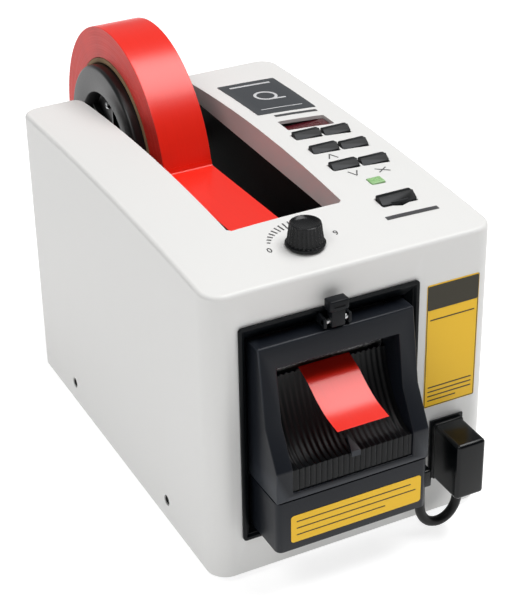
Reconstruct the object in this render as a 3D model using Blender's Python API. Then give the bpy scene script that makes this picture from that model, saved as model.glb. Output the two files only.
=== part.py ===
"""Electric desktop tape dispenser, modelled piece by piece in metres, +Z up, front facing -Y.

Places are given in the machine's own datum: x across from the middle of the case, y back from the
case's front face, z up from the table. An empty carries that datum to the middle of the whole object.
"""
import math

import bmesh
import bpy
from mathutils import Matrix, Vector

mm = 0.001

# Clearances
GAP = 0.3 * mm              # between pieces that rest on or sit in each other
RUN_GAP = 0.4 * mm          # round a piece that slides or turns

# Case
CASE_WIDTH = 119 * mm
CASE_DEPTH = 184 * mm
CASE_EDGE_HEIGHT = 122.8 * mm   # from the case's bottom edge to its front and back top edges
CROWN_ALONG = 2.5 * mm          # rise of the top from front and back edges to the middle
CROWN_ACROSS = 3.6 * mm         # further rise from the sides to the middle
WALL = 2.5 * mm
CORNER_RADIUS = 8 * mm
TOP_FILLET = 3 * mm
CORNER_STEPS = 4
SIDE_STEPS = 10
CROSS_STEPS = 8
FILLET_STEPS = 3

# Feet, base and side screws
FOOT_HEIGHT = 3 * mm
FOOT_RADIUS = 8 * mm
FOOT_STEM_RADIUS = 2.7 * mm
FOOT_HEAD_RADIUS = 4 * mm
FOOT_HEAD_HEIGHT = 1.8 * mm
FOOT_INSET_X = 15.5 * mm
FOOT_INSET_Y = 16 * mm
PLATE = 1.5 * mm                # base and chassis sheet
FLANGE_HEIGHT = 19 * mm
FLANGE_END = 18 * mm            # from each end of the case to the base's side flanges
SCREW_HEAD_RADIUS = 2.6 * mm
SCREW_HEAD_HEIGHT = 1.7 * mm
SCREW_SHANK_RADIUS = 1.5 * mm
SCREW_SHANK_LENGTH = 5 * mm
SIDE_SCREW_Z = 8.4 * mm         # above the case's bottom edge
SIDE_SCREW_FRONT_Y = 45.7 * mm
SIDE_SCREW_BACK_INSET = 41.1 * mm

# Tape well
WELL_X = -8 * mm
WELL_WIDTH = 49 * mm
WELL_FRONT_Y = 38.4 * mm
WELL_FLOOR_DROP = 79.8 * mm     # from the case's top edge down to the liner's floor
WELL_FLARE = 7 * mm             # rounding where the well runs out of the back wall
LIP_DROP = 5.3 * mm             # from the case's top edge down to the white lip's lower edge
LIP_WALL = 2 * mm
LIP_SINK = 1.2 * mm             # the lip's top lies this far inside the case's top
LINER_WALL = 2 * mm
LINER_FRONT_DROP = 22.8 * mm    # from the case's top edge down to the liner's front wall

# Spool and tape
TAPE_X = -10.4 * mm
TAPE_WIDTH = 21.4 * mm
TAPE_THICKNESS = 0.3 * mm
ROLL_RADIUS = 53.6 * mm
CORE_BORE_RADIUS = 38.1 * mm    # three-inch core
CORE_WALL = 2 * mm
AXLE_SETBACK = 14 * mm          # from the case's back face to the axle
AXLE_DROP = 15.8 * mm           # from the lip's lower edge to the axle
AXLE_RADIUS = 4 * mm
HUB_PROUD = 4.8 * mm            # the hub stands this far out of the roll on each side
HUB_SHOULDER = 3.7 * mm         # fall of the hub's rounded shoulder to its flat face
HUB_DISH_RADIUS = 26.2 * mm
HUB_DISH_DEPTH = 7 * mm
HUB_BOSS_RADIUS = 9 * mm
HUB_SCREW_CIRCLE = 19.5 * mm
HUB_SCREW_ANGLE = 60            # degrees from +Y towards +Z
HUB_SCREW_HEAD_RADIUS = 1.9 * mm
HUB_SCREW_HEAD_HEIGHT = 1.4 * mm
HUB_SCREW_SHANK_RADIUS = 1.2 * mm
HUB_SCREW_REACH = 6 * mm        # into the far hub half
PEEL_RISE = 10.6 * mm           # the tape leaves the roll this far above the axle

# Guide roller, feed rollers and gears
GUIDE_Y = 34 * mm
GUIDE_RADIUS = 5 * mm
GUIDE_LIP_GAP = 2.1 * mm        # between the tape on the guide roller and the lip above it
SHAFT_RADIUS = 2 * mm
NIP_Y = 14.5 * mm
NIP_Z = 88.5 * mm
PRESSURE_RADIUS = 4.9 * mm
DRIVE_RADIUS = 6.2 * mm
GEAR_MODULE = 0.8 * mm
GEAR_TEETH = 25
PINION_TEETH = 12
GEAR_WIDTH = 4 * mm
GEAR_SPREAD = 0.25 * mm         # added to the gears' centre distance for backlash
MOTOR_RADIUS = 12 * mm
MOTOR_LENGTH = 22 * mm
MOTOR_SHAFT_RADIUS = 1.5 * mm
BRACKET_WIDTH = 26 * mm

# Cutter unit
CUTTER_X = -9.5 * mm
CUTTER_WIDTH = 64 * mm
CUTTER_BACK_Y = 22 * mm
CUTTER_TOP_Z = 104.5 * mm
CUTTER_TOP_Y = -5.6 * mm
POST_FOOT_Y = -10.6 * mm
POST_FOOT_Z = 74.3 * mm
NOSE_Y = -19.2 * mm
LIP_EDGE_Z = 59 * mm            # front edge of the chute
SEAM_Z = 45.8 * mm              # parting line between the unit and its nose cover
NOSE_BOTTOM_Z = 23.4 * mm
NOSE_BACK_Y = 5 * mm
NOSE_WALL = 2 * mm
NOSE_CORNER = 2.5 * mm
CHANNEL_WIDTH = 50.4 * mm
CHANNEL_FLOOR = 3 * mm          # floor under the chute, above the parting line
WINDOW_TOP_Z = 95.3 * mm
BAR_BACK_Y = 2.9 * mm
RIB_PITCH = 2.3 * mm
RIB_HEIGHT = 0.9 * mm
CHUTE_TOP_Y = 2.4 * mm
CHUTE_TOP_Z = 86.2 * mm
CHUTE_STEPS = 8

# Blades and their drive
BLADE_THICKNESS = 1.3 * mm
FIXED_BLADE_Y = 5 * mm
FIXED_BLADE_HEIGHT = 8 * mm
BLADE_TRAVEL = 6 * mm
BLADE_LIFT = 2.5 * mm           # the open blade's edge above the tape
BLADE_TAB_WIDTH = 13 * mm
BLADE_TAB_X = 8.5 * mm
CRANK_Z = 113 * mm
CRANK_RADIUS = 5 * mm
CRANK_THICKNESS = 1.8 * mm
CRANK_PIN_RADIUS = 1 * mm
CRANK_THROW = 3 * mm
CUTTER_MOTOR_RADIUS = 6 * mm
CUTTER_MOTOR_LENGTH = 20 * mm

# Outgoing strip, as (y, z) points on the photographed curve
STRIP_ROUTE = [(2.7, 86.8), (-4, 84.4), (-7, 82.7), (-12, 80), (-18.9, 77.6), (-26.8, 76)]

# Front bezel and latch
BEZEL_LEFT_X = -46.5 * mm
BEZEL_RIGHT_X = 27.7 * mm
BEZEL_LOW_Z = 18.8 * mm
BEZEL_HIGH_Z = 111.8 * mm
BEZEL_PROUD = 1.2 * mm
BEZEL_FLAT = 2 * mm
BEZEL_OVERLAP = 2 * mm
BEZEL_DISH = 2.4 * mm           # depth where the sloping inner face ends
LATCH_X = -9.2 * mm
LATCH_WIDTH = 8 * mm
LATCH_LOW_Z = 105.4 * mm
LATCH_HIGH_Z = 116.4 * mm
LATCH_FRONT_Y = -7 * mm
LATCH_BACK_Y = -2.3 * mm
LATCH_PIN_Y = -4.3 * mm
LATCH_PIN_Z = 107.6 * mm
LATCH_PIN_RADIUS = 1 * mm
LUG_WIDTH = 1.3 * mm

# Connector and lead
PLUG_X = 42 * mm
PLUG_WIDTH = 12.6 * mm
PLUG_LOW_Z = 20.8 * mm
PLUG_HIGH_Z = 45.8 * mm
PLUG_FRONT_Y = -19.6 * mm
PLUG_EDGE = 1.6 * mm
SOCKET_MARGIN = 1 * mm          # the socket's flange stands out round the plug
SOCKET_FLANGE = 0.8 * mm
SOCKET_BODY_INSET = 2.5 * mm    # from the flange's edge to the socket's body
SOCKET_DEPTH = 12 * mm
LEAD_RADIUS = 2 * mm
LEAD_Y = -8.5 * mm
LEAD_POINTS = 17
# The lead's hand-chosen route from the plug's underside to the gland, as (x, z)
LEAD_ROUTE = [(43.7, 20.5), (43.65, 16.2), (42.7, 10.4), (39.6, 6.1), (34.95, 4.5),
              (30.3, 6.1), (27.2, 10.4), (26.25, 16.2), (26.2, 24.9)]
GLAND_LOW_Z = 25.2 * mm
GLAND_HIGH_Z = 33 * mm
GLAND_WIDTH = 6.5 * mm
GLAND_DEPTH = 7 * mm

# Key panel
PANEL_INSET = 21.5 * mm       # from the right face of the case to the panel's middle
KEY_WIDTH = 10.5 * mm
KEY_DEPTH = 5.5 * mm
KEY_RISE = 2 * mm
KEY_TRAVEL = 1 * mm
KEY_PITCH = 13.2 * mm
KEY_ROWS_Y = [93 * mm, 78.5 * mm, 62.5 * mm]
KEY_FLANGE = 0.8 * mm           # the flange stands out this far all round
KEY_FLANGE_HEIGHT = 1 * mm
KEY_STEM = 1.5 * mm             # half width
KEY_STEM_LENGTH = 3 * mm
KEY_EDGE = 0.6 * mm
BIG_KEY_WIDTH = 13.8 * mm
BIG_KEY_DEPTH = 6.4 * mm
BIG_KEY_RISE = 2.3 * mm
BIG_KEY_Y = 31 * mm
BIG_KEY_SHIFT = -1.8 * mm        # from the panel's middle
LENS_WIDTH = 6 * mm
LENS_DEPTH = 5 * mm
LENS_RISE = 0.5 * mm
LENS_Y = 46.8 * mm
LENS_SHIFT = -1.4 * mm
DISPLAY_WIDTH = 19.5 * mm
DISPLAY_DEPTH = 10 * mm
DISPLAY_Y = 105.5 * mm
DISPLAY_BORDER = 1.6 * mm       # window plate beyond the opening
DISPLAY_PLATE = 1.5 * mm
BOARD_DROP = 12 * mm            # from the case's top edge down to the board's upper face
BOARD_THICKNESS = 1.6 * mm
BOARD_WIDTH = 31 * mm
BOARD_FRONT_Y = 18 * mm
BOARD_BACK_Y = 122 * mm
SPACER_RADIUS = 2.2 * mm
SPACER_INSET = 3 * mm

# Dial
DIAL_X = -10.2 * mm
DIAL_Y = 16.9 * mm
DIAL_HEIGHT = 8.5 * mm
DIAL_SKIRT_RADIUS = 8.2 * mm
DIAL_TOP_RADIUS = 6.1 * mm
DIAL_FLUTES = 18
DIAL_FLUTE_DEPTH = 0.35 * mm
DIAL_LIFT = 0.8 * mm            # under the knob's edge
DIAL_SHAFT_RADIUS = 3 * mm
POT_RADIUS = 7 * mm
POT_HEIGHT = 9 * mm

# Power supply, rear inlet and rocker
INLET_WIDTH = 24 * mm
INLET_INSET = 20.5 * mm         # from the right face of the case to the inlet's middle
INLET_LOW_Z = 14 * mm
INLET_HIGH_Z = 44 * mm
INLET_FLANGE = 1.7 * mm
INLET_DEPTH = 18 * mm
INLET_BODY_INSET = 2 * mm
INLET_SOCKET = (14 * mm, 8 * mm, 11 * mm)
ROCKER_WIDTH = 13 * mm
ROCKER_HEIGHT = 9 * mm
ROCKER_DEPTH = 6 * mm
ROCKER_PROUD = 1 * mm
ROCKER_SWING = 8                # degrees each way
SUPPLY_WIDTH = 18 * mm
SUPPLY_DEPTH = 50 * mm
SUPPLY_HEIGHT = 34 * mm
SUPPLY_BOARD_MARGIN = 2 * mm
SUPPLY_BOARD_HEIGHT = 3 * mm
SUPPLY_BACK_INSET = 26 * mm

# Worked-out places
HALF_WIDTH = CASE_WIDTH / 2
CASE_BASE = FOOT_HEIGHT
CASE_EDGE_Z = CASE_BASE + CASE_EDGE_HEIGHT
FLOOR_Z = CASE_BASE + PLATE
LIP_Z = CASE_EDGE_Z - LIP_DROP
WELL_LEFT = WELL_X - WELL_WIDTH / 2
WELL_RIGHT = WELL_X + WELL_WIDTH / 2
WELL_FLOOR_Z = CASE_EDGE_Z - WELL_FLOOR_DROP
LINER_BOTTOM_Z = WELL_FLOOR_Z - LINER_WALL
LINER_TOP_Z = LIP_Z - GAP
LINER_BACK_Y = CASE_DEPTH - WALL - GAP
AXLE_Y = CASE_DEPTH - AXLE_SETBACK
AXLE_Z = LIP_Z - AXLE_DROP
TAPE_LEFT = TAPE_X - TAPE_WIDTH / 2
TAPE_RIGHT = TAPE_X + TAPE_WIDTH / 2
HUB_RADIUS = CORE_BORE_RADIUS - GAP
PLATE_LEFT_X = WELL_LEFT - LINER_WALL - GAP - PLATE
PLATE_RIGHT_X = WELL_RIGHT + LINER_WALL + GAP
CHASSIS_FRONT_Y = CUTTER_BACK_Y + GAP
WEB_OFFSET = GAP + TAPE_THICKNESS / 2
GUIDE_Z = LIP_Z - GUIDE_LIP_GAP - TAPE_THICKNESS - GAP - GUIDE_RADIUS
PRESSURE_Z = NIP_Z + WEB_OFFSET + PRESSURE_RADIUS
DRIVE_Z = NIP_Z - WEB_OFFSET - DRIVE_RADIUS
CUTTER_LEFT = CUTTER_X - CUTTER_WIDTH / 2
CUTTER_RIGHT = CUTTER_X + CUTTER_WIDTH / 2
CHANNEL_LEFT = CUTTER_X - CHANNEL_WIDTH / 2
CHANNEL_RIGHT = CUTTER_X + CHANNEL_WIDTH / 2
CHANNEL_Z = SEAM_Z + CHANNEL_FLOOR
GEAR_X = CUTTER_RIGHT + 2 * GAP
GEAR_DISTANCE = GEAR_MODULE * (GEAR_TEETH + PINION_TEETH) / 2 + GEAR_SPREAD
PINION_Y = NIP_Y + GEAR_DISTANCE
MOTOR_PLATE_X = GEAR_X + GEAR_WIDTH + 2 * GAP
BLADE_Y = FIXED_BLADE_Y - GAP - BLADE_THICKNESS
BEZEL_DEPTH = BLADE_Y - GAP
PANEL_X = HALF_WIDTH - PANEL_INSET
BIG_KEY_X = PANEL_X + BIG_KEY_SHIFT
LENS_X = PANEL_X + LENS_SHIFT
BOARD_Z = CASE_EDGE_Z - BOARD_DROP
INLET_X = HALF_WIDTH - INLET_INSET


def crown(x, y):
    """Height of the case's top at (x, y)."""
    across = 1 - (x / HALF_WIDTH) ** 2
    along = 1 - ((y - CASE_DEPTH / 2) / (CASE_DEPTH / 2)) ** 2
    return CASE_EDGE_Z + CROWN_ALONG * along + CROWN_ACROSS * across * along


def inner_top(x, y, half_x, half_y):
    """Lowest height of the case's inner top over a rectangle."""
    corners = [crown(x + i * half_x, y + j * half_y) for i in (-1, 1) for j in (-1, 1)]
    return min(corners) - WALL


# Scene, finishes and object helpers

for old in list(bpy.data.objects):
    bpy.data.objects.remove(old, do_unlink=True)

datum = bpy.data.objects.new("machine_datum", None)
bpy.context.scene.collection.objects.link(datum)


def finish(name, colour, roughness, metallic=0.0):
    made = bpy.data.materials.new(name)
    made.use_nodes = True
    shader = made.node_tree.nodes["Principled BSDF"]
    shader.inputs["Base Color"].default_value = (*colour, 1.0)
    shader.inputs["Roughness"].default_value = roughness
    shader.inputs["Metallic"].default_value = metallic
    return made


WHITE = finish("case_white", (0.80, 0.80, 0.78), 0.45)
BLACK = finish("moulded_black", (0.02, 0.02, 0.022), 0.45)
KEY_BLACK = finish("key_black", (0.035, 0.036, 0.038), 0.4)
RUBBER = finish("black_rubber", (0.03, 0.03, 0.03), 0.8)
BROWN_RUBBER = finish("brown_rubber", (0.30, 0.12, 0.05), 0.6)
STEEL = finish("plated_steel", (0.60, 0.61, 0.62), 0.35, 1.0)
BRASS = finish("brass", (0.72, 0.52, 0.22), 0.35, 1.0)
RED_TAPE = finish("red_tape", (0.80, 0.04, 0.02), 0.3)
CARD = finish("core_card", (0.55, 0.40, 0.25), 0.8)
RED_WINDOW = finish("red_window", (0.10, 0.01, 0.02), 0.1)
GREEN_LENS = finish("green_lens", (0.25, 0.60, 0.20), 0.3)
BOARD_GREEN = finish("board_green", (0.02, 0.16, 0.06), 0.5)


def link(name, mesh_data, place):
    """Add a mesh to the scene under the datum."""
    mesh = bpy.data.meshes.new(name)
    mesh_data.to_mesh(mesh)
    mesh_data.free()
    made = bpy.data.objects.new(name, mesh)
    made.parent = datum
    made.location = place
    bpy.context.scene.collection.objects.link(made)
    return made


def piece(name, mesh_data, look, place=(0, 0, 0), sharp=35):
    """A named piece with its finish, shaded smooth up to the given angle in degrees."""
    bmesh.ops.recalc_face_normals(mesh_data, faces=mesh_data.faces)
    made = link(name, mesh_data, place)
    made.data.materials.append(look)
    made.data.shade_smooth()
    made.data.set_sharp_from_angle(angle=math.radians(sharp))
    return made


def combine(target, operation, name, mesh_data, place=(0, 0, 0)):
    """Cut a hidden shape out of a piece, or join it on."""
    bmesh.ops.recalc_face_normals(mesh_data, faces=mesh_data.faces)
    tool = link(name, mesh_data, place)
    tool.hide_render = True
    tool.display_type = "WIRE"
    step = target.modifiers.new(name, "BOOLEAN")
    step.operation = operation
    step.object = tool
    step.solver = "EXACT"


def cut(target, name, mesh_data, place=(0, 0, 0)):
    combine(target, "DIFFERENCE", name, mesh_data, place)


def join(target, name, mesh_data, place=(0, 0, 0)):
    combine(target, "UNION", name, mesh_data, place)


def soften(target, width, segments=2):
    """Round a piece's sharp edges with a Bevel modifier."""
    step = target.modifiers.new("softened_edges", "BEVEL")
    step.width = width
    step.segments = segments
    step.limit_method = "ANGLE"


# Shapes

def block(low, high):
    """Box between two corners."""
    shape = bmesh.new()
    size = [b - a for a, b in zip(low, high)]
    middle = [(a + b) / 2 for a, b in zip(low, high)]
    bmesh.ops.create_cube(shape, size=1, matrix=Matrix.LocRotScale(Vector(middle), None, Vector(size)))
    return shape


def loft(rings, closed=False):
    """Skin through rings of points; capped at both ends, or closed on itself."""
    shape = bmesh.new()
    rows = [[shape.verts.new(point) for point in ring] for ring in rings]
    count = len(rows[0])
    pairs = list(zip(rows, rows[1:]))
    if closed:
        pairs.append((rows[-1], rows[0]))
    else:
        shape.faces.new(list(reversed(rows[0])))
        shape.faces.new(rows[-1])
    for first, second in pairs:
        for i in range(count):
            j = (i + 1) % count
            shape.faces.new((first[i], first[j], second[j], second[i]))
    return shape


def prism_x(outline, start, end):
    """Outline of (y, z) points carried along X."""
    return loft([[(x, y, z) for y, z in outline] for x in (start, end)])


def prism_z(outline, start, end):
    """Outline of (x, y) points carried along Z."""
    return loft([[(x, y, z) for x, y in outline] for z in (start, end)])


def tower(levels):
    """Stack of centred rectangles, each (half_x, half_y, z), from the bottom up."""
    return loft([[(-a, -b, z), (a, -b, z), (a, b, z), (-a, b, z)] for a, b, z in levels])


def turned(profile, steps, axis="Z", ring=False):
    """Profile of (radius, height) points turned about an axis; ring profiles close on themselves."""
    turns = [2 * math.pi * k / steps for k in range(steps)]
    rings = [[(r * math.cos(a), r * math.sin(a), h) for a in turns] for r, h in profile]
    shape = loft(rings, closed=ring)
    if axis == "X":
        bmesh.ops.rotate(shape, verts=shape.verts, matrix=Matrix.Rotation(math.pi / 2, 3, "Y"))
    if axis == "Y":
        bmesh.ops.rotate(shape, verts=shape.verts, matrix=Matrix.Rotation(-math.pi / 2, 3, "X"))
    return shape


def rod(radius, start, end, steps=24, axis="X"):
    """Plain cylinder along an axis, from start to end."""
    return turned([(radius, start), (radius, end)], steps, axis)


def tube(inner, outer, start, end, steps=24, axis="X"):
    profile = [(inner, start), (outer, start), (outer, end), (inner, end)]
    return turned(profile, steps, axis, ring=True)


def arc(centre, radius, first, last, steps):
    """Points of (u, v) on an arc, angles in degrees."""
    points = []
    for k in range(steps + 1):
        a = math.radians(first + (last - first) * k / steps)
        points.append((centre[0] + radius * math.cos(a), centre[1] + radius * math.sin(a)))
    return points


def rounded_rectangle(low_u, low_v, high_u, high_v, radius, steps=3):
    corners = [((high_u - radius, high_v - radius), 0), ((low_u + radius, high_v - radius), 90),
               ((low_u + radius, low_v + radius), 180), ((high_u - radius, low_v + radius), 270)]
    points = []
    for centre, first in corners:
        points += arc(centre, radius, first, first + 90, steps)
    return points


# Case shell

def plan_rows(inset):
    """Rows of (half width, y) over the case's rounded plan, drawn in by an inset."""
    half = HALF_WIDTH - inset
    radius = CORNER_RADIUS - inset
    front = inset
    back = CASE_DEPTH - inset
    rows = []
    for k in range(CORNER_STEPS + 1):
        a = math.pi / 2 * k / CORNER_STEPS
        rows.append((half - radius + radius * math.sin(a), front + radius - radius * math.cos(a)))
    for k in range(1, SIDE_STEPS):
        rows.append((half, front + radius + (back - front - 2 * radius) * k / SIDE_STEPS))
    return rows + [(w, front + back - y) for w, y in reversed(rows[:CORNER_STEPS + 1])]


def plan_grid(inset, height):
    """Grid of points over the plan; height gives z at (x, y)."""
    fractions = [2 * j / CROSS_STEPS - 1 for j in range(CROSS_STEPS + 1)]
    return [[(w * f, y, height(w * f, y)) for f in fractions] for w, y in plan_rows(inset)]


def rim(grid):
    """The grid's outer loop, in order."""
    right = [row[-1] for row in grid[1:-1]]
    left = [row[0] for row in grid[1:-1]]
    return grid[0] + right + list(reversed(grid[-1])) + list(reversed(left))


def skin(shape, loops, grid):
    """Bands between loops, then a cap over the grid whose rim is the last loop."""
    rows = [[shape.verts.new(p) for p in loop] for loop in loops]
    for first, second in zip(rows, rows[1:]):
        for i in range(len(first)):
            j = (i + 1) % len(first)
            shape.faces.new((first[i], first[j], second[j], second[i]))
    known = dict(zip(loops[-1], rows[-1]))
    cap = [[known.get(p) or shape.verts.new(p) for p in row] for row in grid]
    for low, high in zip(cap, cap[1:]):
        for j in range(len(low) - 1):
            shape.faces.new((low[j], low[j + 1], high[j + 1], high[j]))
    return rows[0]


def shell_solid():
    """Crowned outer skin, inner skin one wall inside it, and the bottom rim between them."""
    shape = bmesh.new()
    outer = [rim(plan_grid(0, lambda x, y: CASE_BASE))]
    for k in range(FILLET_STEPS + 1):
        a = math.pi / 2 * k / FILLET_STEPS
        inset = TOP_FILLET * (1 - math.cos(a))
        drop = TOP_FILLET * (1 - math.sin(a))
        grid = plan_grid(inset, lambda x, y: crown(x, y) - drop)
        outer.append(rim(grid))
    outer_foot = skin(shape, outer, grid)
    inner = [rim(plan_grid(WALL, lambda x, y: CASE_BASE)),
             rim(plan_grid(WALL, lambda x, y: crown(x, y) - TOP_FILLET))]
    grid = plan_grid(WALL + TOP_FILLET - WALL, lambda x, y: crown(x, y) - WALL)
    inner_foot = skin(shape, inner + [rim(grid)], grid)
    for i in range(len(outer_foot)):
        j = (i + 1) % len(outer_foot)
        shape.faces.new((outer_foot[i], outer_foot[j], inner_foot[j], inner_foot[i]))
    return shape


def lip_block():
    """Solid under the well's rim, from the lip's lower edge up into the crowned top."""
    low_x, high_x = WELL_LEFT - LIP_WALL, WELL_RIGHT + LIP_WALL
    low_y, high_y = WELL_FRONT_Y - LIP_WALL, CASE_DEPTH - WALL / 2
    shape = bmesh.new()
    rows = []
    for i in range(SIDE_STEPS + 1):
        y = low_y + (high_y - low_y) * i / SIDE_STEPS
        xs = [low_x + (high_x - low_x) * j / CROSS_STEPS for j in range(CROSS_STEPS + 1)]
        rows.append([(x, y, crown(x, y) - LIP_SINK) for x in xs])
    foot = [(x, y, LIP_Z) for x, y, z in rim(rows)]
    base = skin(shape, [foot, rim(rows)], rows)
    shape.faces.new(base)
    return shape


def well_plan():
    """Plan of the well's opening, flared where it runs out of the back."""
    flare_y = CASE_DEPTH - WELL_FLARE
    beyond = CASE_DEPTH + WELL_FLARE
    left = arc((WELL_LEFT - WELL_FLARE, flare_y), WELL_FLARE, 0, 90, 4)
    right = arc((WELL_RIGHT + WELL_FLARE, flare_y), WELL_FLARE, 90, 180, 4)
    front = [(WELL_LEFT, WELL_FRONT_Y), (WELL_RIGHT, WELL_FRONT_Y)]
    back = [(WELL_RIGHT + WELL_FLARE, beyond), (WELL_LEFT - WELL_FLARE, beyond)]
    return front + list(reversed(right)) + back + list(reversed(left))


def side_screw_places():
    for side, sign in (("left", -1), ("right", 1)):
        for end, y in (("front", SIDE_SCREW_FRONT_Y), ("back", CASE_DEPTH - SIDE_SCREW_BACK_INSET)):
            yield f"case_screw_{end}_{side}", sign, y


def key_places():
    for row, y in enumerate(KEY_ROWS_Y):
        for column, x in (("left", PANEL_X - KEY_PITCH / 2), ("right", PANEL_X + KEY_PITCH / 2)):
            yield f"key_{column}_{row + 1}", x, y


def top_hole(shell, name, x, y, width, depth):
    """Rectangular hole through the case's top."""
    low = crown(x, y) - 3 * WALL
    high = crown(x, y) + 2 * WALL
    cut(shell, name, block((x - width / 2, y - depth / 2, low), (x + width / 2, y + depth / 2, high)))


def make_case():
    shell = piece("case_shell", shell_solid(), WHITE)
    join(shell, "lip_join", lip_block())
    cut(shell, "well_cut", prism_z(well_plan(), WELL_FLOOR_Z - LINER_WALL - GAP, CASE_EDGE_Z + CASE_BASE * 10))
    low = (BEZEL_LEFT_X + BEZEL_OVERLAP, -WALL, BEZEL_LOW_Z + BEZEL_OVERLAP)
    high = (BEZEL_RIGHT_X - BEZEL_OVERLAP, 2 * WALL, BEZEL_HIGH_Z - BEZEL_OVERLAP)
    cut(shell, "bezel_cut", block(low, high))
    for name, x, y in key_places():
        top_hole(shell, name + "_cut", x, y, KEY_WIDTH + 2 * RUN_GAP, KEY_DEPTH + 2 * RUN_GAP)
    top_hole(shell, "big_key_cut", BIG_KEY_X, BIG_KEY_Y, BIG_KEY_WIDTH + 2 * RUN_GAP, BIG_KEY_DEPTH + 2 * RUN_GAP)
    top_hole(shell, "lens_cut", LENS_X, LENS_Y, LENS_WIDTH + 2 * GAP, LENS_DEPTH + 2 * GAP)
    top_hole(shell, "display_cut", PANEL_X, DISPLAY_Y, DISPLAY_WIDTH, DISPLAY_DEPTH)
    dial_hole = rod(DIAL_SHAFT_RADIUS + RUN_GAP, -3 * WALL, 2 * WALL, axis="Z")
    cut(shell, "dial_cut", dial_hole, (DIAL_X, DIAL_Y, crown(DIAL_X, DIAL_Y)))
    for name, sign, y in side_screw_places():
        hole = rod(SCREW_HEAD_RADIUS + RUN_GAP, -2 * WALL, 2 * WALL, 20)
        cut(shell, name + "_cut", hole, (sign * HALF_WIDTH, y, CASE_BASE + SIDE_SCREW_Z))
    reach = PLUG_WIDTH / 2 + SOCKET_MARGIN - SOCKET_BODY_INSET + GAP
    drop = SOCKET_BODY_INSET - SOCKET_MARGIN - GAP
    cut(shell, "socket_cut", block((PLUG_X - reach, -WALL, PLUG_LOW_Z + drop),
                                   (PLUG_X + reach, 2 * WALL, PLUG_HIGH_Z - drop)))
    reach = INLET_WIDTH / 2 - INLET_BODY_INSET + GAP
    cut(shell, "inlet_cut", block((INLET_X - reach, CASE_DEPTH - 2 * WALL, INLET_LOW_Z + INLET_BODY_INSET - GAP),
                                  (INLET_X + reach, CASE_DEPTH + WALL, INLET_HIGH_Z - INLET_BODY_INSET + GAP)))


# Base, feet and side screws

def make_base():
    grid = rim(plan_grid(WALL + GAP, lambda x, y: CASE_BASE))
    plate = piece("base_plate", loft([grid, [(x, y, FLOOR_Z) for x, y, z in grid]]), STEEL)
    outer = HALF_WIDTH - WALL - GAP
    for side, sign in (("left", -1), ("right", 1)):
        xs = sorted((sign * outer, sign * (outer - PLATE)))
        low = (xs[0], FLANGE_END, CASE_BASE)
        high = (xs[1], CASE_DEPTH - FLANGE_END, CASE_BASE + FLANGE_HEIGHT)
        join(plate, f"flange_{side}", block(low, high))
    for name, sign, y in side_screw_places():
        hole = rod(SCREW_SHANK_RADIUS + GAP, -3 * PLATE, 3 * PLATE, 16)
        cut(plate, name + "_hole", hole, (sign * outer, y, CASE_BASE + SIDE_SCREW_Z))
    for end, y in (("front", FOOT_INSET_Y), ("back", CASE_DEPTH - FOOT_INSET_Y)):
        for side, x in (("left", FOOT_INSET_X - HALF_WIDTH), ("right", HALF_WIDTH - FOOT_INSET_X)):
            make_foot(f"foot_{end}_{side}", x, y)
            hole = rod(FOOT_STEM_RADIUS + GAP, -PLATE, 2 * PLATE, 20, "Z")
            cut(plate, f"foot_hole_{end}_{side}", hole, (x, y, CASE_BASE))


def make_foot(name, x, y):
    """Push-in rubber foot: pad, stem through the plate, and a head above it."""
    pad_top = FOOT_HEIGHT - GAP
    head = FLOOR_Z + GAP
    taper = FOOT_RADIUS * 0.9
    profile = [(taper, 0), (FOOT_RADIUS, pad_top / 3), (FOOT_RADIUS, pad_top), (FOOT_STEM_RADIUS, pad_top),
               (FOOT_STEM_RADIUS, head), (FOOT_HEAD_RADIUS, head), (FOOT_STEM_RADIUS, head + FOOT_HEAD_HEIGHT)]
    piece(name, turned(profile, 20), RUBBER, (x, y, 0))


def make_side_screws():
    """Pan-head screws whose heads sit in the case's holes, on the base's flanges."""
    for name, sign, y in side_screw_places():
        seat = HALF_WIDTH - WALL
        top = seat + SCREW_HEAD_HEIGHT
        profile = [(SCREW_SHANK_RADIUS, seat - SCREW_SHANK_LENGTH), (SCREW_SHANK_RADIUS, seat),
                   (SCREW_HEAD_RADIUS, seat), (SCREW_HEAD_RADIUS, top - SCREW_HEAD_HEIGHT / 2),
                   (SCREW_HEAD_RADIUS * 0.7, top)]
        shape = turned([(r, sign * h) for r, h in profile], 16, "X")
        piece(name, shape, STEEL, (0, y, CASE_BASE + SIDE_SCREW_Z))


# Well liner and chassis plates

def make_well():
    """Open-topped, open-backed trough with axle slots in its side walls."""
    low = (WELL_LEFT - LINER_WALL, WELL_FRONT_Y - LINER_WALL, LINER_BOTTOM_Z)
    high = (WELL_RIGHT + LINER_WALL, LINER_BACK_Y, LINER_TOP_Z)
    liner = piece("tape_well", block(low, high), BLACK)
    inside = block((WELL_LEFT, WELL_FRONT_Y, WELL_FLOOR_Z), (WELL_RIGHT, CASE_DEPTH, CASE_EDGE_Z))
    cut(liner, "well_inside", inside)
    front_top = CASE_EDGE_Z - LINER_FRONT_DROP
    mouth = block((WELL_LEFT, 0, front_top), (WELL_RIGHT, WELL_FRONT_Y + LINER_WALL, CASE_EDGE_Z))
    cut(liner, "tape_mouth", mouth)
    reach = AXLE_RADIUS + GAP
    slot = arc((0, 0), reach, 180, 360, 8) + [(reach, CASE_EDGE_Z - AXLE_Z), (-reach, CASE_EDGE_Z - AXLE_Z)]
    cut(liner, "axle_slots", prism_x(slot, -HALF_WIDTH, HALF_WIDTH), (0, AXLE_Y, AXLE_Z))


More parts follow.
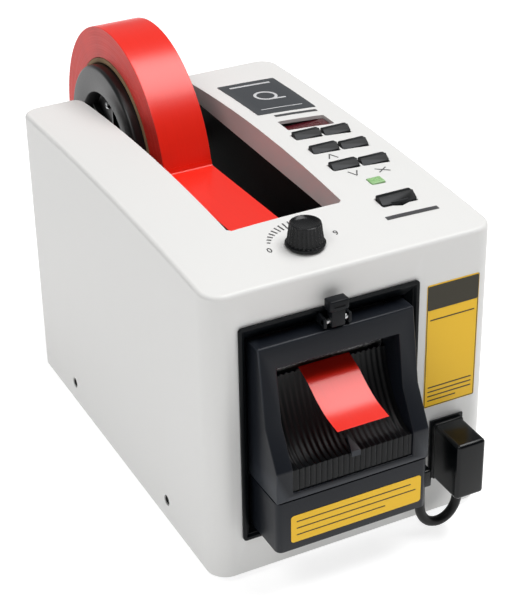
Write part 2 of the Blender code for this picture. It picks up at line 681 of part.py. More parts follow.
def make_chassis():
    """Upright side plates with feet on the base and bearings for the guide roller."""
    foot = 6 * mm
    back = CASE_DEPTH - FOOT_INSET_Y - FOOT_RADIUS
    for side, x, sign in (("left", PLATE_LEFT_X, -1), ("right", PLATE_RIGHT_X, 1)):
        bottom = FLOOR_Z + GAP
        low = (x, CHASSIS_FRONT_Y, bottom)
        plate = piece(f"chassis_{side}", block(low, (x + PLATE, back, LINER_TOP_Z)), STEEL)
        near = x if sign < 0 else x + PLATE
        xs = sorted((near - sign * PLATE / 2, near + sign * foot))
        ends = ((xs[0], CHASSIS_FRONT_Y, bottom), (xs[1], back, bottom + PLATE))
        join(plate, f"chassis_foot_{side}", block(*ends))
        hole = rod(SHAFT_RADIUS + GAP, -2 * PLATE, 2 * PLATE, 16)
        cut(plate, f"guide_bearing_{side}", hole, (x + PLATE / 2, GUIDE_Y, GUIDE_Z))


# Spool

def hub_half(name, sign):
    """One half of the hub: drum in the core, rounded shoulder, dished face, bore for the axle."""
    bore = AXLE_RADIUS + RUN_GAP
    inner = GAP / 2
    roll_face = TAPE_WIDTH / 2
    face = roll_face + HUB_PROUD
    face_radius = HUB_RADIUS - HUB_SHOULDER
    floor = face - HUB_DISH_DEPTH
    shoulder = [(HUB_RADIUS - HUB_SHOULDER * (1 - math.cos(math.radians(a))),
                 roll_face + HUB_PROUD * math.sin(math.radians(a))) for a in (0, 30, 60, 90)]
    shoulder[-1] = (face_radius, face)
    profile = [(bore, inner), (HUB_RADIUS, inner)] + shoulder
    profile += [(HUB_DISH_RADIUS, face), (HUB_DISH_RADIUS - 1 * mm, floor), (HUB_BOSS_RADIUS, floor),
                (HUB_BOSS_RADIUS - 0.5 * mm, face), (bore, face)]
    shape = turned([(r, sign * h) for r, h in profile], 48, "X", ring=True)
    half = piece(name, shape, BLACK, (TAPE_X, AXLE_Y, AXLE_Z))
    for k, (y, z) in enumerate(hub_screw_offsets()):
        deep = HUB_SCREW_REACH + GAP if sign > 0 else floor + HUB_DISH_DEPTH
        hole = rod(HUB_SCREW_SHANK_RADIUS + GAP, -sign * GAP, sign * deep, 12)
        cut(half, f"{name}_screw_hole_{k + 1}", hole, (TAPE_X, AXLE_Y + y, AXLE_Z + z))


def hub_screw_offsets():
    for k in range(3):
        a = math.radians(HUB_SCREW_ANGLE + 120 * k)
        yield HUB_SCREW_CIRCLE * math.cos(a), HUB_SCREW_CIRCLE * math.sin(a)


def make_spool():
    hub_half("hub_left", -1)
    hub_half("hub_right", 1)
    half = TAPE_WIDTH / 2
    core_outer = CORE_BORE_RADIUS + CORE_WALL
    axis = (TAPE_X, AXLE_Y, AXLE_Z)
    piece("tape_core", tube(CORE_BORE_RADIUS, core_outer, -half, half, 64), CARD, axis)
    piece("tape_roll", tube(core_outer + GAP, ROLL_RADIUS, -half, half, 80), RED_TAPE, axis)
    seat = -(half + HUB_PROUD - HUB_DISH_DEPTH) - GAP
    head = seat - HUB_SCREW_HEAD_HEIGHT
    profile = [(HUB_SCREW_SHANK_RADIUS, HUB_SCREW_REACH), (HUB_SCREW_SHANK_RADIUS, seat),
               (HUB_SCREW_HEAD_RADIUS, seat), (HUB_SCREW_HEAD_RADIUS, head + GAP),
               (HUB_SCREW_HEAD_RADIUS - GAP, head)]
    for k, (y, z) in enumerate(hub_screw_offsets()):
        piece(f"hub_screw_{k + 1}", turned(profile, 14, "X"), STEEL, (TAPE_X, AXLE_Y + y, AXLE_Z + z))
    ends = (WELL_LEFT - LINER_WALL, WELL_RIGHT + LINER_WALL)
    piece("spool_axle", rod(AXLE_RADIUS, *ends), STEEL, (0, AXLE_Y, AXLE_Z))


# Tape web from the roll to the cutter, and the strip coming out

def web(route):
    """Outline of (y, z) points: the route thickened to the tape."""
    upper, lower = [], []
    for i, (y, z) in enumerate(route):
        before = route[max(i - 1, 0)]
        after = route[min(i + 1, len(route) - 1)]
        along = Vector((after[0] - before[0], after[1] - before[1])).normalized()
        side = Vector((along.y, -along.x)) * TAPE_THICKNESS / 2
        upper.append((y + side.x, z + side.y))
        lower.append((y - side.x, z - side.y))
    return upper + list(reversed(lower))


def smooth(points, steps):
    """Catmull-Rom curve through a list of equal-length tuples."""
    padded = [points[0]] + list(points) + [points[-1]]
    result = []
    for p0, p1, p2, p3 in zip(padded, padded[1:], padded[2:], padded[3:]):
        for k in range(steps):
            t = k / steps
            result.append(tuple(
                0.5 * (2 * b + (c - a) * t + (2 * a - 5 * b + 4 * c - d) * t ** 2 + (3 * b - a - 3 * c + d) * t ** 3)
                for a, b, c, d in zip(p0, p1, p2, p3)))
    return result + [tuple(points[-1])]


def feed_route():
    """From the peel line over the guide roller, behind and under the pressure roller, to the blade."""
    peel_y = AXLE_Y - math.sqrt((ROLL_RADIUS + GAP) ** 2 - PEEL_RISE ** 2) - TAPE_THICKNESS
    over = GUIDE_RADIUS + WEB_OFFSET
    under = PRESSURE_RADIUS + WEB_OFFSET
    run = Vector((NIP_Y - GUIDE_Y, PRESSURE_Z - GUIDE_Z))
    heading = math.degrees(math.atan2(run.y, run.x)) % 360
    turn = heading + math.degrees(math.asin((over + under) / run.length))
    guide = arc((GUIDE_Y, GUIDE_Z), over, 90, turn - 90, 6)
    pressure = arc((NIP_Y, PRESSURE_Z), under, turn - 270, -90, 6)
    blade = (FIXED_BLADE_Y + GAP, NIP_Z - 0.9 * mm)
    return [(peel_y, AXLE_Z + PEEL_RISE)] + guide + pressure + [blade]


def make_tape():
    piece("feed_strip", prism_x(web(feed_route()), TAPE_LEFT, TAPE_RIGHT), RED_TAPE)
    route = smooth([(y * mm, z * mm) for y, z in STRIP_ROUTE], 3)
    piece("outlet_strip", prism_x(web(route), TAPE_LEFT, TAPE_RIGHT), RED_TAPE)


# Rollers, gears and feed motor

def roller(name, look, radius, body_ends, shaft_ends, y, z):
    """Roller with a thinner shaft at each end."""
    profile = [(SHAFT_RADIUS, shaft_ends[0]), (SHAFT_RADIUS, body_ends[0]), (radius, body_ends[0]),
               (radius, body_ends[1]), (SHAFT_RADIUS, body_ends[1]), (SHAFT_RADIUS, shaft_ends[1])]
    piece(name, turned(profile, 28, "X"), look, (0, y, z))


def gear_outline(teeth, phase):
    """Trapezoid teeth on their pitch circle, as (y, z) points; phase in tooth pitches."""
    pitch_radius = GEAR_MODULE * teeth / 2
    tip = pitch_radius + 0.8 * GEAR_MODULE
    root = pitch_radius - 1.2 * GEAR_MODULE
    pitch = 2 * math.pi / teeth
    points = []
    for k in range(teeth):
        middle = (k + phase) * pitch
        for radius, share in ((root, -0.30), (tip, -0.10), (tip, 0.10), (root, 0.30)):
            a = middle + share * pitch
            points.append((radius * math.cos(a), radius * math.sin(a)))
    return points


def gear(name, look, teeth, phase, bore, y, z):
    """Spur gear along X with a round bore for its shaft."""
    shape = prism_x(gear_outline(teeth, phase), GEAR_X, GEAR_X + GEAR_WIDTH)
    made = piece(name, shape, look, (0, y, z), sharp=20)
    cut(made, name + "_bore", rod(bore, GEAR_X - GEAR_WIDTH, GEAR_X + 2 * GEAR_WIDTH, 16), (0, y, z))


def make_feed():
    inner = (WELL_LEFT + 2 * GAP, WELL_RIGHT - 2 * GAP)
    outer = (PLATE_LEFT_X, PLATE_RIGHT_X + PLATE)
    roller("guide_roller", STEEL, GUIDE_RADIUS, inner, outer, GUIDE_Y, GUIDE_Z)
    inner = (CHANNEL_LEFT + 2 * GAP, CHANNEL_RIGHT - 2 * GAP)
    outer = (CUTTER_LEFT + 2 * GAP, CUTTER_RIGHT - 2 * GAP)
    roller("pressure_roller", RUBBER, PRESSURE_RADIUS, inner, outer, NIP_Y, PRESSURE_Z)
    driven = (outer[0], GEAR_X + GEAR_WIDTH)
    roller("drive_roller", BROWN_RUBBER, DRIVE_RADIUS, inner, driven, NIP_Y, DRIVE_Z)
    gear("drive_gear", BLACK, GEAR_TEETH, 0, SHAFT_RADIUS + GAP, NIP_Y, DRIVE_Z)
    pinion_phase = 0 if PINION_TEETH % 2 else 0.5
    gear("motor_pinion", BRASS, PINION_TEETH, pinion_phase, MOTOR_SHAFT_RADIUS + RUN_GAP, PINION_Y, DRIVE_Z)
    make_motor()


def make_motor():
    """Feed motor on the far side of an upright bracket, its shaft reaching through to the pinion."""
    plate = MOTOR_PLATE_X
    bottom = FLOOR_Z + GAP
    low_y, high_y = PINION_Y - BRACKET_WIDTH / 2, PINION_Y + BRACKET_WIDTH / 2
    high = (plate + PLATE, high_y, DRIVE_Z + BRACKET_WIDTH / 2)
    bracket = piece("motor_bracket", block((plate, low_y, bottom), high), STEEL)
    join(bracket, "bracket_foot", block((plate, low_y, bottom), (plate + 12 * mm, high_y, bottom + PLATE)))
    hole = rod(MOTOR_SHAFT_RADIUS + 2 * mm, -PLATE, 3 * PLATE, 20)
    cut(bracket, "bracket_hole", hole, (plate, PINION_Y, DRIVE_Z))
    face = plate + PLATE + GAP
    profile = [(MOTOR_SHAFT_RADIUS, GEAR_X), (MOTOR_SHAFT_RADIUS, face), (MOTOR_RADIUS, face),
               (MOTOR_RADIUS, face + MOTOR_LENGTH - 2 * mm), (MOTOR_RADIUS - 2 * mm, face + MOTOR_LENGTH)]
    piece("feed_motor", turned(profile, 28, "X"), STEEL, (0, PINION_Y, DRIVE_Z))


# Cutter unit

def make_cutter_frame():
    """Two cheeks tied by a bar over the window and a floor under the chute."""
    outline = [(CUTTER_TOP_Y, CUTTER_TOP_Z), (POST_FOOT_Y, POST_FOOT_Z), (NOSE_Y, LIP_EDGE_Z),
               (NOSE_Y, SEAM_Z), (CUTTER_BACK_Y, SEAM_Z), (CUTTER_BACK_Y, CUTTER_TOP_Z)]
    frame = piece("cutter_frame", prism_x(outline, CUTTER_LEFT, CUTTER_RIGHT), BLACK)
    far = 2 * CUTTER_BACK_Y
    channel = [(-far, CHANNEL_Z), (far, CHANNEL_Z), (far, CUTTER_TOP_Z + PLATE), (BAR_BACK_Y, CUTTER_TOP_Z + PLATE),
               (BAR_BACK_Y, WINDOW_TOP_Z), (-far, WINDOW_TOP_Z)]
    cut(frame, "channel", prism_x(channel, CHANNEL_LEFT, CHANNEL_RIGHT))
    for name, z in (("drive", DRIVE_Z), ("pressure", PRESSURE_Z)):
        bearing = rod(SHAFT_RADIUS + GAP, -CASE_WIDTH, CASE_WIDTH, 16)
        cut(frame, f"{name}_bearings", bearing, (0, NIP_Y, z))


def chute_curve():
    """Concave slide from the blade down to the front edge, as (y, z)."""
    front = NOSE_Y + RIB_HEIGHT
    points = []
    for k in range(CHUTE_STEPS + 1):
        t = k / CHUTE_STEPS
        y = CHUTE_TOP_Y + (front - CHUTE_TOP_Y) * t ** 1.25
        z = LIP_EDGE_Z - RIB_HEIGHT + (CHUTE_TOP_Z - LIP_EDGE_Z) * (1 - t) ** 1.9
        points.append((y, z))
    return points


def make_chute():
    """Ribbed slide between the cheeks: sections across X step up at each rib."""
    bottom = CHANNEL_Z + GAP
    curve = chute_curve()
    front = curve[-1][0]

    def section(x, lift):
        ribbed = [(x, y, z + lift) for y, z in curve[:-1]]
        nose = [(x, front - lift, curve[-1][1] + lift), (x, front - lift, bottom)]
        return ribbed + nose + [(x, CHUTE_TOP_Y, bottom)]

    left, right = CHANNEL_LEFT + GAP, CHANNEL_RIGHT - GAP
    ribs = int((right - left) / RIB_PITCH)
    start = (left + right - ribs * RIB_PITCH) / 2
    sections = [section(left, 0)]
    for k in range(ribs):
        low = start + (k + 0.25) * RIB_PITCH
        high = start + (k + 0.75) * RIB_PITCH
        sections += [section(low, 0), section(low + GAP / 3, RIB_HEIGHT),
                     section(high - GAP / 3, RIB_HEIGHT), section(high, 0)]
    sections.append(section(right, 0))
    piece("chute_guide", loft(sections), BLACK, sharp=20)


def make_nose():
    """Nose cover under the parting line, open at the back and at the top."""
    top = SEAM_Z - GAP
    plan = [(CUTTER_LEFT, NOSE_BACK_Y)] + arc((CUTTER_LEFT + NOSE_CORNER, NOSE_Y + NOSE_CORNER), NOSE_CORNER, 180, 270, 3)
    plan += arc((CUTTER_RIGHT - NOSE_CORNER, NOSE_Y + NOSE_CORNER), NOSE_CORNER, 270, 360, 3)
    plan += [(CUTTER_RIGHT, NOSE_BACK_Y)]
    nose = piece("nose_cover", prism_z(plan, NOSE_BOTTOM_Z, top), BLACK)
    hollow = block((CUTTER_LEFT + NOSE_WALL, NOSE_Y + NOSE_WALL, NOSE_BOTTOM_Z + NOSE_WALL),
                   (CUTTER_RIGHT - NOSE_WALL, 2 * NOSE_BACK_Y, top - NOSE_WALL))
    cut(nose, "nose_hollow", hollow)


def make_blades():
    """Fixed blade under the tape, and the sliding blade with the tab that its crank drives."""
    left, right = CHANNEL_LEFT + GAP, CHANNEL_RIGHT - GAP
    edge = NIP_Z - 0.9 * mm - WEB_OFFSET
    low = (left, FIXED_BLADE_Y, edge - FIXED_BLADE_HEIGHT)
    piece("fixed_blade", block(low, (right, FIXED_BLADE_Y + BLADE_THICKNESS, edge)), STEEL)
    rest = NIP_Z + BLADE_LIFT
    tab_top = CRANK_Z + CRANK_THROW + CRANK_RADIUS
    half = BLADE_TAB_WIDTH / 2
    back = BLADE_Y + BLADE_THICKNESS
    outline = [(left, rest), (right, rest + BLADE_LIFT / 2), (right, CUTTER_TOP_Z), (BLADE_TAB_X + half, CUTTER_TOP_Z),
               (BLADE_TAB_X + half, tab_top), (BLADE_TAB_X - half, tab_top), (BLADE_TAB_X - half, CUTTER_TOP_Z),
               (left, CUTTER_TOP_Z)]
    blade = piece("moving_blade", loft([[(x, y, z) for x, z in outline] for y in (BLADE_Y, back)]), STEEL)
    slot_half = CRANK_THROW + CRANK_PIN_RADIUS + GAP
    slot_high = CRANK_Z + CRANK_THROW + CRANK_PIN_RADIUS + GAP
    slot_low = CRANK_Z + CRANK_THROW - CRANK_PIN_RADIUS - GAP
    cut(blade, "crank_slot", block((BLADE_TAB_X - slot_half, BLADE_Y - PLATE, slot_low),
                                   (BLADE_TAB_X + slot_half, back + PLATE, slot_high)))
    make_blade_drive(back)


def make_blade_drive(blade_back):
    """Crank disc whose pin stops just short of the blade's slot, and the motor that turns it."""
    front = blade_back + GAP
    face = front + 1 * mm
    disc = turned([(CRANK_RADIUS, face), (CRANK_RADIUS, face + CRANK_THICKNESS)], 24, "Y")
    crank = piece("cutter_crank", disc, STEEL, (BLADE_TAB_X, 0, CRANK_Z))
    pin = rod(CRANK_PIN_RADIUS, front, face + CRANK_THICKNESS / 2, 12, "Y")
    join(crank, "crank_pin", pin, (BLADE_TAB_X, 0, CRANK_Z + CRANK_THROW))
    start = face + CRANK_THICKNESS + GAP
    body = rod(CUTTER_MOTOR_RADIUS, start, start + CUTTER_MOTOR_LENGTH, 24, "Y")
    motor = piece("cutter_motor", body, STEEL, (BLADE_TAB_X, 0, CRANK_Z))
    low = (BLADE_TAB_X, start + PLATE, CUTTER_TOP_Z + GAP)
    high = (CUTTER_RIGHT - GAP, start + 2 * PLATE, CRANK_Z)
    join(motor, "motor_tab", block(low, high))


# Front bezel and latch

def bezel_loop(y, inset):
    """Loop of the bezel's outline drawn in by an inset, at a depth."""
    radius = max(1.5 * mm - inset / 4, 0.5 * mm)
    outline = rounded_rectangle(BEZEL_LEFT_X + inset, BEZEL_LOW_Z + inset,
                                BEZEL_RIGHT_X - inset, BEZEL_HIGH_Z - inset, radius)
    return [(x, y, z) for x, z in outline]


def opening_loop(y):
    """Loop just clear of the cutter unit, at a depth."""
    low_z = NOSE_BOTTOM_Z - 2 * GAP
    outline = rounded_rectangle(CUTTER_LEFT - 2 * GAP, low_z, CUTTER_RIGHT + 2 * GAP, CUTTER_TOP_Z + 2 * GAP, 0.5 * mm)
    return [(x, y, z) for x, z in outline]


def make_bezel():
    seat = BEZEL_OVERLAP + GAP
    loops = [bezel_loop(-GAP, 0), bezel_loop(-BEZEL_PROUD, 0), bezel_loop(-BEZEL_PROUD, BEZEL_FLAT),
             opening_loop(BEZEL_DISH), opening_loop(BEZEL_DEPTH), bezel_loop(BEZEL_DEPTH, seat),
             bezel_loop(-GAP, seat)]
    bezel = piece("front_bezel", loft(loops, closed=True), BLACK)
    for side, sign in (("left", -1), ("right", 1)):
        near = LATCH_X + sign * (LATCH_WIDTH / 2 + RUN_GAP)
        xs = sorted((near, near + sign * LUG_WIDTH))
        low = (xs[0], LATCH_FRONT_Y + LUG_WIDTH, CUTTER_TOP_Z + 3 * GAP)
        lug = block(low, (xs[1], BEZEL_DISH / 2, BEZEL_HIGH_Z - BEZEL_OVERLAP - GAP))
        join(bezel, f"latch_lug_{side}", lug)
    pin_hole = rod(LATCH_PIN_RADIUS + GAP, -LATCH_WIDTH, LATCH_WIDTH, 12)
    cut(bezel, "latch_pin_hole", pin_hole, (LATCH_X, LATCH_PIN_Y, LATCH_PIN_Z))


def make_latch():
    """Thumb latch on a pin between the bezel's lugs."""
    back, front = LATCH_BACK_Y - LATCH_PIN_Y, LATCH_FRONT_Y - LATCH_PIN_Y
    low, high = LATCH_LOW_Z - LATCH_PIN_Z, LATCH_HIGH_Z - LATCH_PIN_Z
    outline = [(front, low), (back, low), (back, high), (front + 1.4 * mm, high), (front, high - 2 * mm)]
    half = LATCH_WIDTH / 2
    lever = piece("latch_lever", prism_x(outline, -half, half), BLACK, (LATCH_X, LATCH_PIN_Y, LATCH_PIN_Z))
    pin_hole = rod(LATCH_PIN_RADIUS + GAP, -LATCH_WIDTH, LATCH_WIDTH, 12)
    cut(lever, "lever_bore", pin_hole, (LATCH_X, LATCH_PIN_Y, LATCH_PIN_Z))
    reach = half + RUN_GAP + LUG_WIDTH
    piece("latch_pin", rod(LATCH_PIN_RADIUS, -reach, reach, 12), STEEL, (LATCH_X, LATCH_PIN_Y, LATCH_PIN_Z))


# Connector and lead

def make_connector():
    half = PLUG_WIDTH / 2
    plug_back = -GAP - SOCKET_FLANGE - GAP
    plug = piece("connector_plug", block((PLUG_X - half, PLUG_FRONT_Y, PLUG_LOW_Z), (PLUG_X + half, plug_back, PLUG_HIGH_Z)),
                 BLACK)
    soften(plug, PLUG_EDGE)
    reach = half + SOCKET_MARGIN
    low = (PLUG_X - reach, -GAP - SOCKET_FLANGE, PLUG_LOW_Z - SOCKET_MARGIN)
    high = (PLUG_X + reach, -GAP, PLUG_HIGH_Z + SOCKET_MARGIN)
    socket = piece("connector_socket", block(low, high), BLACK)
    inset = SOCKET_BODY_INSET
    body = block((low[0] + inset, -GAP - SOCKET_FLANGE / 2, low[2] + inset),
                 (high[0] - inset, SOCKET_DEPTH, high[2] - inset))
    join(socket, "socket_body", body)
    middle = LEAD_ROUTE[-1][0] * mm
    low = (CUTTER_RIGHT + GAP, LEAD_Y - GLAND_DEPTH / 2, GLAND_LOW_Z)
    high = (max(CUTTER_RIGHT + GAP + GLAND_WIDTH, middle), LEAD_Y + GLAND_DEPTH / 2, GLAND_HIGH_Z)
    gland = piece("lead_gland", block(low, high), BLACK)
    soften(gland, 0.8 * mm)


def make_lead():
    """The lead as a tube along its route, a curve with filled ends."""
    route = smooth([(x * mm, LEAD_Y, z * mm) for x, z in LEAD_ROUTE], 8)
    picked = [route[round(k * (len(route) - 1) / (LEAD_POINTS - 1))] for k in range(LEAD_POINTS)]
    curve = bpy.data.curves.new("cutter_lead", "CURVE")
    curve.dimensions = "3D"
    curve.bevel_depth = LEAD_RADIUS
    curve.bevel_resolution = 2
    curve.use_fill_caps = True
    spline = curve.splines.new("POLY")
    spline.points.add(len(picked) - 1)
    for point, place in zip(spline.points, picked):
        point.co = (*place, 1)
    curve.materials.append(RUBBER)
    lead = bpy.data.objects.new("cutter_lead", curve)
    lead.parent = datum
    bpy.context.scene.collection.objects.link(lead)


# Key panel

def panel_piece(name, x, y, width, depth, rise, look):
    """Key or lens: a cap through the top, a flange under it and a stem towards the board."""
    half_x, half_y = width / 2, depth / 2
    flange_x, flange_y = half_x + KEY_FLANGE, half_y + KEY_FLANGE
    flange_top = inner_top(x, y, flange_x, flange_y) - GAP
    flange_low = flange_top - KEY_FLANGE_HEIGHT
    top = crown(x, y) + rise
    edge = min(KEY_EDGE, rise)
    levels = [(KEY_STEM, KEY_STEM, flange_low - KEY_STEM_LENGTH), (KEY_STEM, KEY_STEM, flange_low),
              (flange_x, flange_y, flange_low), (flange_x, flange_y, flange_top), (half_x, half_y, flange_top),
              (half_x, half_y, top - edge), (half_x - edge, half_y - edge, top)]
    piece(name, tower([(a, b, z - top) for a, b, z in levels]), look, (x, y, top))
    return flange_low - KEY_STEM_LENGTH


def make_panel():
    stems = []
    for name, x, y in key_places():
        stems.append((x, y, panel_piece(name, x, y, KEY_WIDTH, KEY_DEPTH, KEY_RISE, KEY_BLACK)))
    big = panel_piece("key_large", BIG_KEY_X, BIG_KEY_Y, BIG_KEY_WIDTH, BIG_KEY_DEPTH, BIG_KEY_RISE, KEY_BLACK)
    stems.append((BIG_KEY_X, BIG_KEY_Y, big))
    lens_foot = panel_piece("lamp_lens", LENS_X, LENS_Y, LENS_WIDTH, LENS_DEPTH, LENS_RISE, GREEN_LENS)
    half_x = DISPLAY_WIDTH / 2 + DISPLAY_BORDER
    half_y = DISPLAY_DEPTH / 2 + DISPLAY_BORDER
    plate_top = inner_top(PANEL_X, DISPLAY_Y, half_x, half_y) - GAP
    plate_low = plate_top - DISPLAY_PLATE
    window = block((PANEL_X - half_x, DISPLAY_Y - half_y, plate_low), (PANEL_X + half_x, DISPLAY_Y + half_y, plate_top))
    piece("display_window", window, RED_WINDOW)
    make_board(stems, lens_foot, plate_low)


def make_board(stems, lens_foot, window_low):
    """Control board with its switches, lamp and display block, hung from the top by four spacers."""
    left, right = PANEL_X - BOARD_WIDTH / 2, PANEL_X + BOARD_WIDTH / 2
    low = BOARD_Z - BOARD_THICKNESS
    board = piece("control_board", block((left, BOARD_FRONT_Y, low), (right, BOARD_BACK_Y, BOARD_Z)), BOARD_GREEN)
    sunk = BOARD_Z - BOARD_THICKNESS / 2
    for k, (x, y, foot) in enumerate(stems):
        reach = 2 * KEY_STEM
        top = foot - KEY_TRAVEL - GAP
        join(board, f"switch_{k + 1}", block((x - reach, y - reach, sunk), (x + reach, y + reach, top)))
    lamp = block((LENS_X - KEY_STEM, LENS_Y - KEY_STEM, sunk), (LENS_X + KEY_STEM, LENS_Y + KEY_STEM, lens_foot - GAP))
    join(board, "lamp", lamp)
    digits = block((PANEL_X - DISPLAY_WIDTH / 2, DISPLAY_Y - DISPLAY_DEPTH / 2, sunk),
                   (PANEL_X + DISPLAY_WIDTH / 2, DISPLAY_Y + DISPLAY_DEPTH / 2, window_low - GAP))
    join(board, "digits", digits)
    for i, x in enumerate((left + SPACER_INSET, right - SPACER_INSET)):
        for j, y in enumerate((BOARD_FRONT_Y + SPACER_INSET, BOARD_BACK_Y - SPACER_INSET)):
            top = inner_top(x, y, SPACER_RADIUS, SPACER_RADIUS) - GAP
            join(board, f"spacer_{i}{j}", rod(SPACER_RADIUS, sunk, top, 12, "Z"), (x, y, 0))


# Dial

def make_dial():
    """Fluted knob on a shaft that turns in the potentiometer under the top."""
    surface = crown(DIAL_X, DIAL_Y)
    steps = 4 * DIAL_FLUTES
    bore = DIAL_SHAFT_RADIUS + GAP
    crest = DIAL_HEIGHT - 0.8 * mm

    def ring(radius, z, flute):
        points = []
        for k in range(steps):
            a = 2 * math.pi * k / steps
            r = radius + flute * DIAL_FLUTE_DEPTH * math.cos(DIAL_FLUTES * a)
            points.append((r * math.cos(a), r * math.sin(a), z))
        return points

    levels = [(bore, crest - 2 * mm, 0), (bore, 0, 0), (DIAL_SKIRT_RADIUS, 0, 0), (DIAL_SKIRT_RADIUS, 1.2 * mm, 0),
              (DIAL_TOP_RADIUS + 0.8 * mm, 2 * mm, 1), (DIAL_TOP_RADIUS + 0.2 * mm, crest, 1),
              (DIAL_TOP_RADIUS - 0.4 * mm, DIAL_HEIGHT, 0), (DIAL_TOP_RADIUS - 1.4 * mm, DIAL_HEIGHT - 0.4 * mm, 0)]
    place = (DIAL_X, DIAL_Y, surface + DIAL_LIFT)
    piece("dial_knob", loft([ring(*level) for level in levels]), BLACK, place)
    pot_top = inner_top(DIAL_X, DIAL_Y, POT_RADIUS, POT_RADIUS) - GAP
    pot_low = pot_top - POT_HEIGHT
    bore_floor = pot_low + 2 * mm
    profile = [(POT_RADIUS, pot_low), (POT_RADIUS, pot_top), (bore, pot_top), (bore, bore_floor)]
    piece("dial_potentiometer", turned(profile, 28), STEEL, (DIAL_X, DIAL_Y, 0))
    shaft_top = surface + DIAL_LIFT + crest - 2 * mm - GAP
    piece("dial_shaft", rod(DIAL_SHAFT_RADIUS, bore_floor + GAP, shaft_top, 20, "Z"), STEEL, (DIAL_X, DIAL_Y, 0))


# Power supply, rear inlet and rocker

def make_power():
    half = INLET_WIDTH / 2
    back = CASE_DEPTH + GAP
    low = (INLET_X - half, back, INLET_LOW_Z)
    high = (INLET_X + half, back + INLET_FLANGE, INLET_HIGH_Z)
    inlet = piece("power_inlet", block(low, high), BLACK)
    inset = INLET_BODY_INSET
    body = block((low[0] + inset, CASE_DEPTH - INLET_DEPTH, low[2] + inset),
                 (high[0] - inset, back + INLET_FLANGE / 2, high[2] - inset))
    join(inlet, "inlet_body", body)
    outer = back + INLET_FLANGE
    width, height, depth = INLET_SOCKET
    socket_z = INLET_LOW_Z + 2 * inset + height / 2
    socket = block((INLET_X - width / 2, outer - depth, socket_z - height / 2),
                   (INLET_X + width / 2, outer + depth, socket_z + height / 2))
    cut(inlet, "inlet_socket", socket)
    rocker_z = INLET_HIGH_Z - 2 * inset - ROCKER_HEIGHT / 2 - RUN_GAP
    swing = ROCKER_HEIGHT / 2 * math.sin(math.radians(ROCKER_SWING)) + RUN_GAP
    half_w, half_h = ROCKER_WIDTH / 2, ROCKER_HEIGHT / 2
    well = block((INLET_X - half_w - RUN_GAP, outer - ROCKER_DEPTH - swing, rocker_z - half_h - 2 * RUN_GAP),
                 (INLET_X + half_w + RUN_GAP, outer + ROCKER_DEPTH, rocker_z + half_h + 2 * RUN_GAP))
    cut(inlet, "rocker_well", well)
    tilt = ROCKER_PROUD * 0.8
    face = ROCKER_DEPTH + ROCKER_PROUD
    outline = [(0, -half_h + RUN_GAP), (face - 1 * mm, -half_h), (face + tilt, -half_h), (face - tilt / 2, 0),
               (face + tilt, half_h), (face - 1 * mm, half_h), (0, half_h - RUN_GAP)]
    pivot = ROCKER_DEPTH / 2
    shape = prism_x([(y - pivot, z) for y, z in outline], -half_w, half_w)
    piece("power_rocker", shape, KEY_BLACK, (INLET_X, outer - ROCKER_DEPTH + pivot, rocker_z))
    make_supply()


def make_supply():
    """Transformer block on its carrier, standing on the base."""
    bottom = FLOOR_Z + GAP
    back = CASE_DEPTH - SUPPLY_BACK_INSET
    half = SUPPLY_WIDTH / 2
    margin = SUPPLY_BOARD_MARGIN
    carrier_top = bottom + SUPPLY_BOARD_HEIGHT
    place = (INLET_X - margin / 2, back - SUPPLY_DEPTH / 2, 0)
    levels = [(half + margin, SUPPLY_DEPTH / 2 + margin, bottom), (half + margin, SUPPLY_DEPTH / 2 + margin, carrier_top),
              (half, SUPPLY_DEPTH / 2, carrier_top), (half, SUPPLY_DEPTH / 2, bottom + SUPPLY_HEIGHT)]
    piece("power_supply", tower(levels), STEEL, place)


make_case()
make_base()
make_side_screws()
make_well()
make_chassis()
make_spool()
make_tape()
make_feed()
make_cutter_frame()
make_chute()
make_nose()
make_blades()
make_bezel()
make_latch()
make_connector()
make_lead()
make_panel()
make_dial()
make_power()

# The datum moves so that the whole object's middle, in plan, is at the origin
front_end = STRIP_ROUTE[-1][0] * mm
back_end = AXLE_Y + ROLL_RADIUS
datum.location = (0, -(front_end + back_end) / 2, 0)
bpy.context.view_layer.update()
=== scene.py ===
# %% [markdown]
# # An electric desktop tape dispenser
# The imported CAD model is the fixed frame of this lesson: every piece below is made where the CAD says
# it is, and rides on the CAD body that moves it. First the frame is loaded and its box is kept.

# %% The frame
import math

import bmesh
import bpy
from mathutils import Matrix, Vector


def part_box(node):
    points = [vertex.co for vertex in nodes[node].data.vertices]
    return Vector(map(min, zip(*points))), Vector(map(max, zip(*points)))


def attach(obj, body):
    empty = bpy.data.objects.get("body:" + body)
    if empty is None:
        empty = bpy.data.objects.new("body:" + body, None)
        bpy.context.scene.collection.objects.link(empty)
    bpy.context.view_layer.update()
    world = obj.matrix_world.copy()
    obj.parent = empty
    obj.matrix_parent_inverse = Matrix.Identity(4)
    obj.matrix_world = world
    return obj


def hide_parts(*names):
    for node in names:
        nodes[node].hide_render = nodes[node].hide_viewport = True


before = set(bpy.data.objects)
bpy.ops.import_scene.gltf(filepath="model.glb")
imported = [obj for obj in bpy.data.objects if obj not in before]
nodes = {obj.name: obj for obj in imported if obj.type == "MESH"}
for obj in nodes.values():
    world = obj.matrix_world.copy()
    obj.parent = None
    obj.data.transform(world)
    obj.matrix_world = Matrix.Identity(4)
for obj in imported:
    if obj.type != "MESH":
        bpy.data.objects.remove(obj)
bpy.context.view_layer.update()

for leftover in ("Cube", "Light", "Camera"):
    if leftover in bpy.data.objects and leftover not in nodes:
        bpy.data.objects.remove(bpy.data.objects[leftover], do_unlink=True)

# %% [markdown]
# ## Places
# A maker measures this machine from the front face of its case, so the lesson does too: x across from
# the middle, y back from the case's front, z up from the table, all in millimetres. `at` turns such a
# place into Blender's metres. The case's top is crowned, so a second function gives its height.

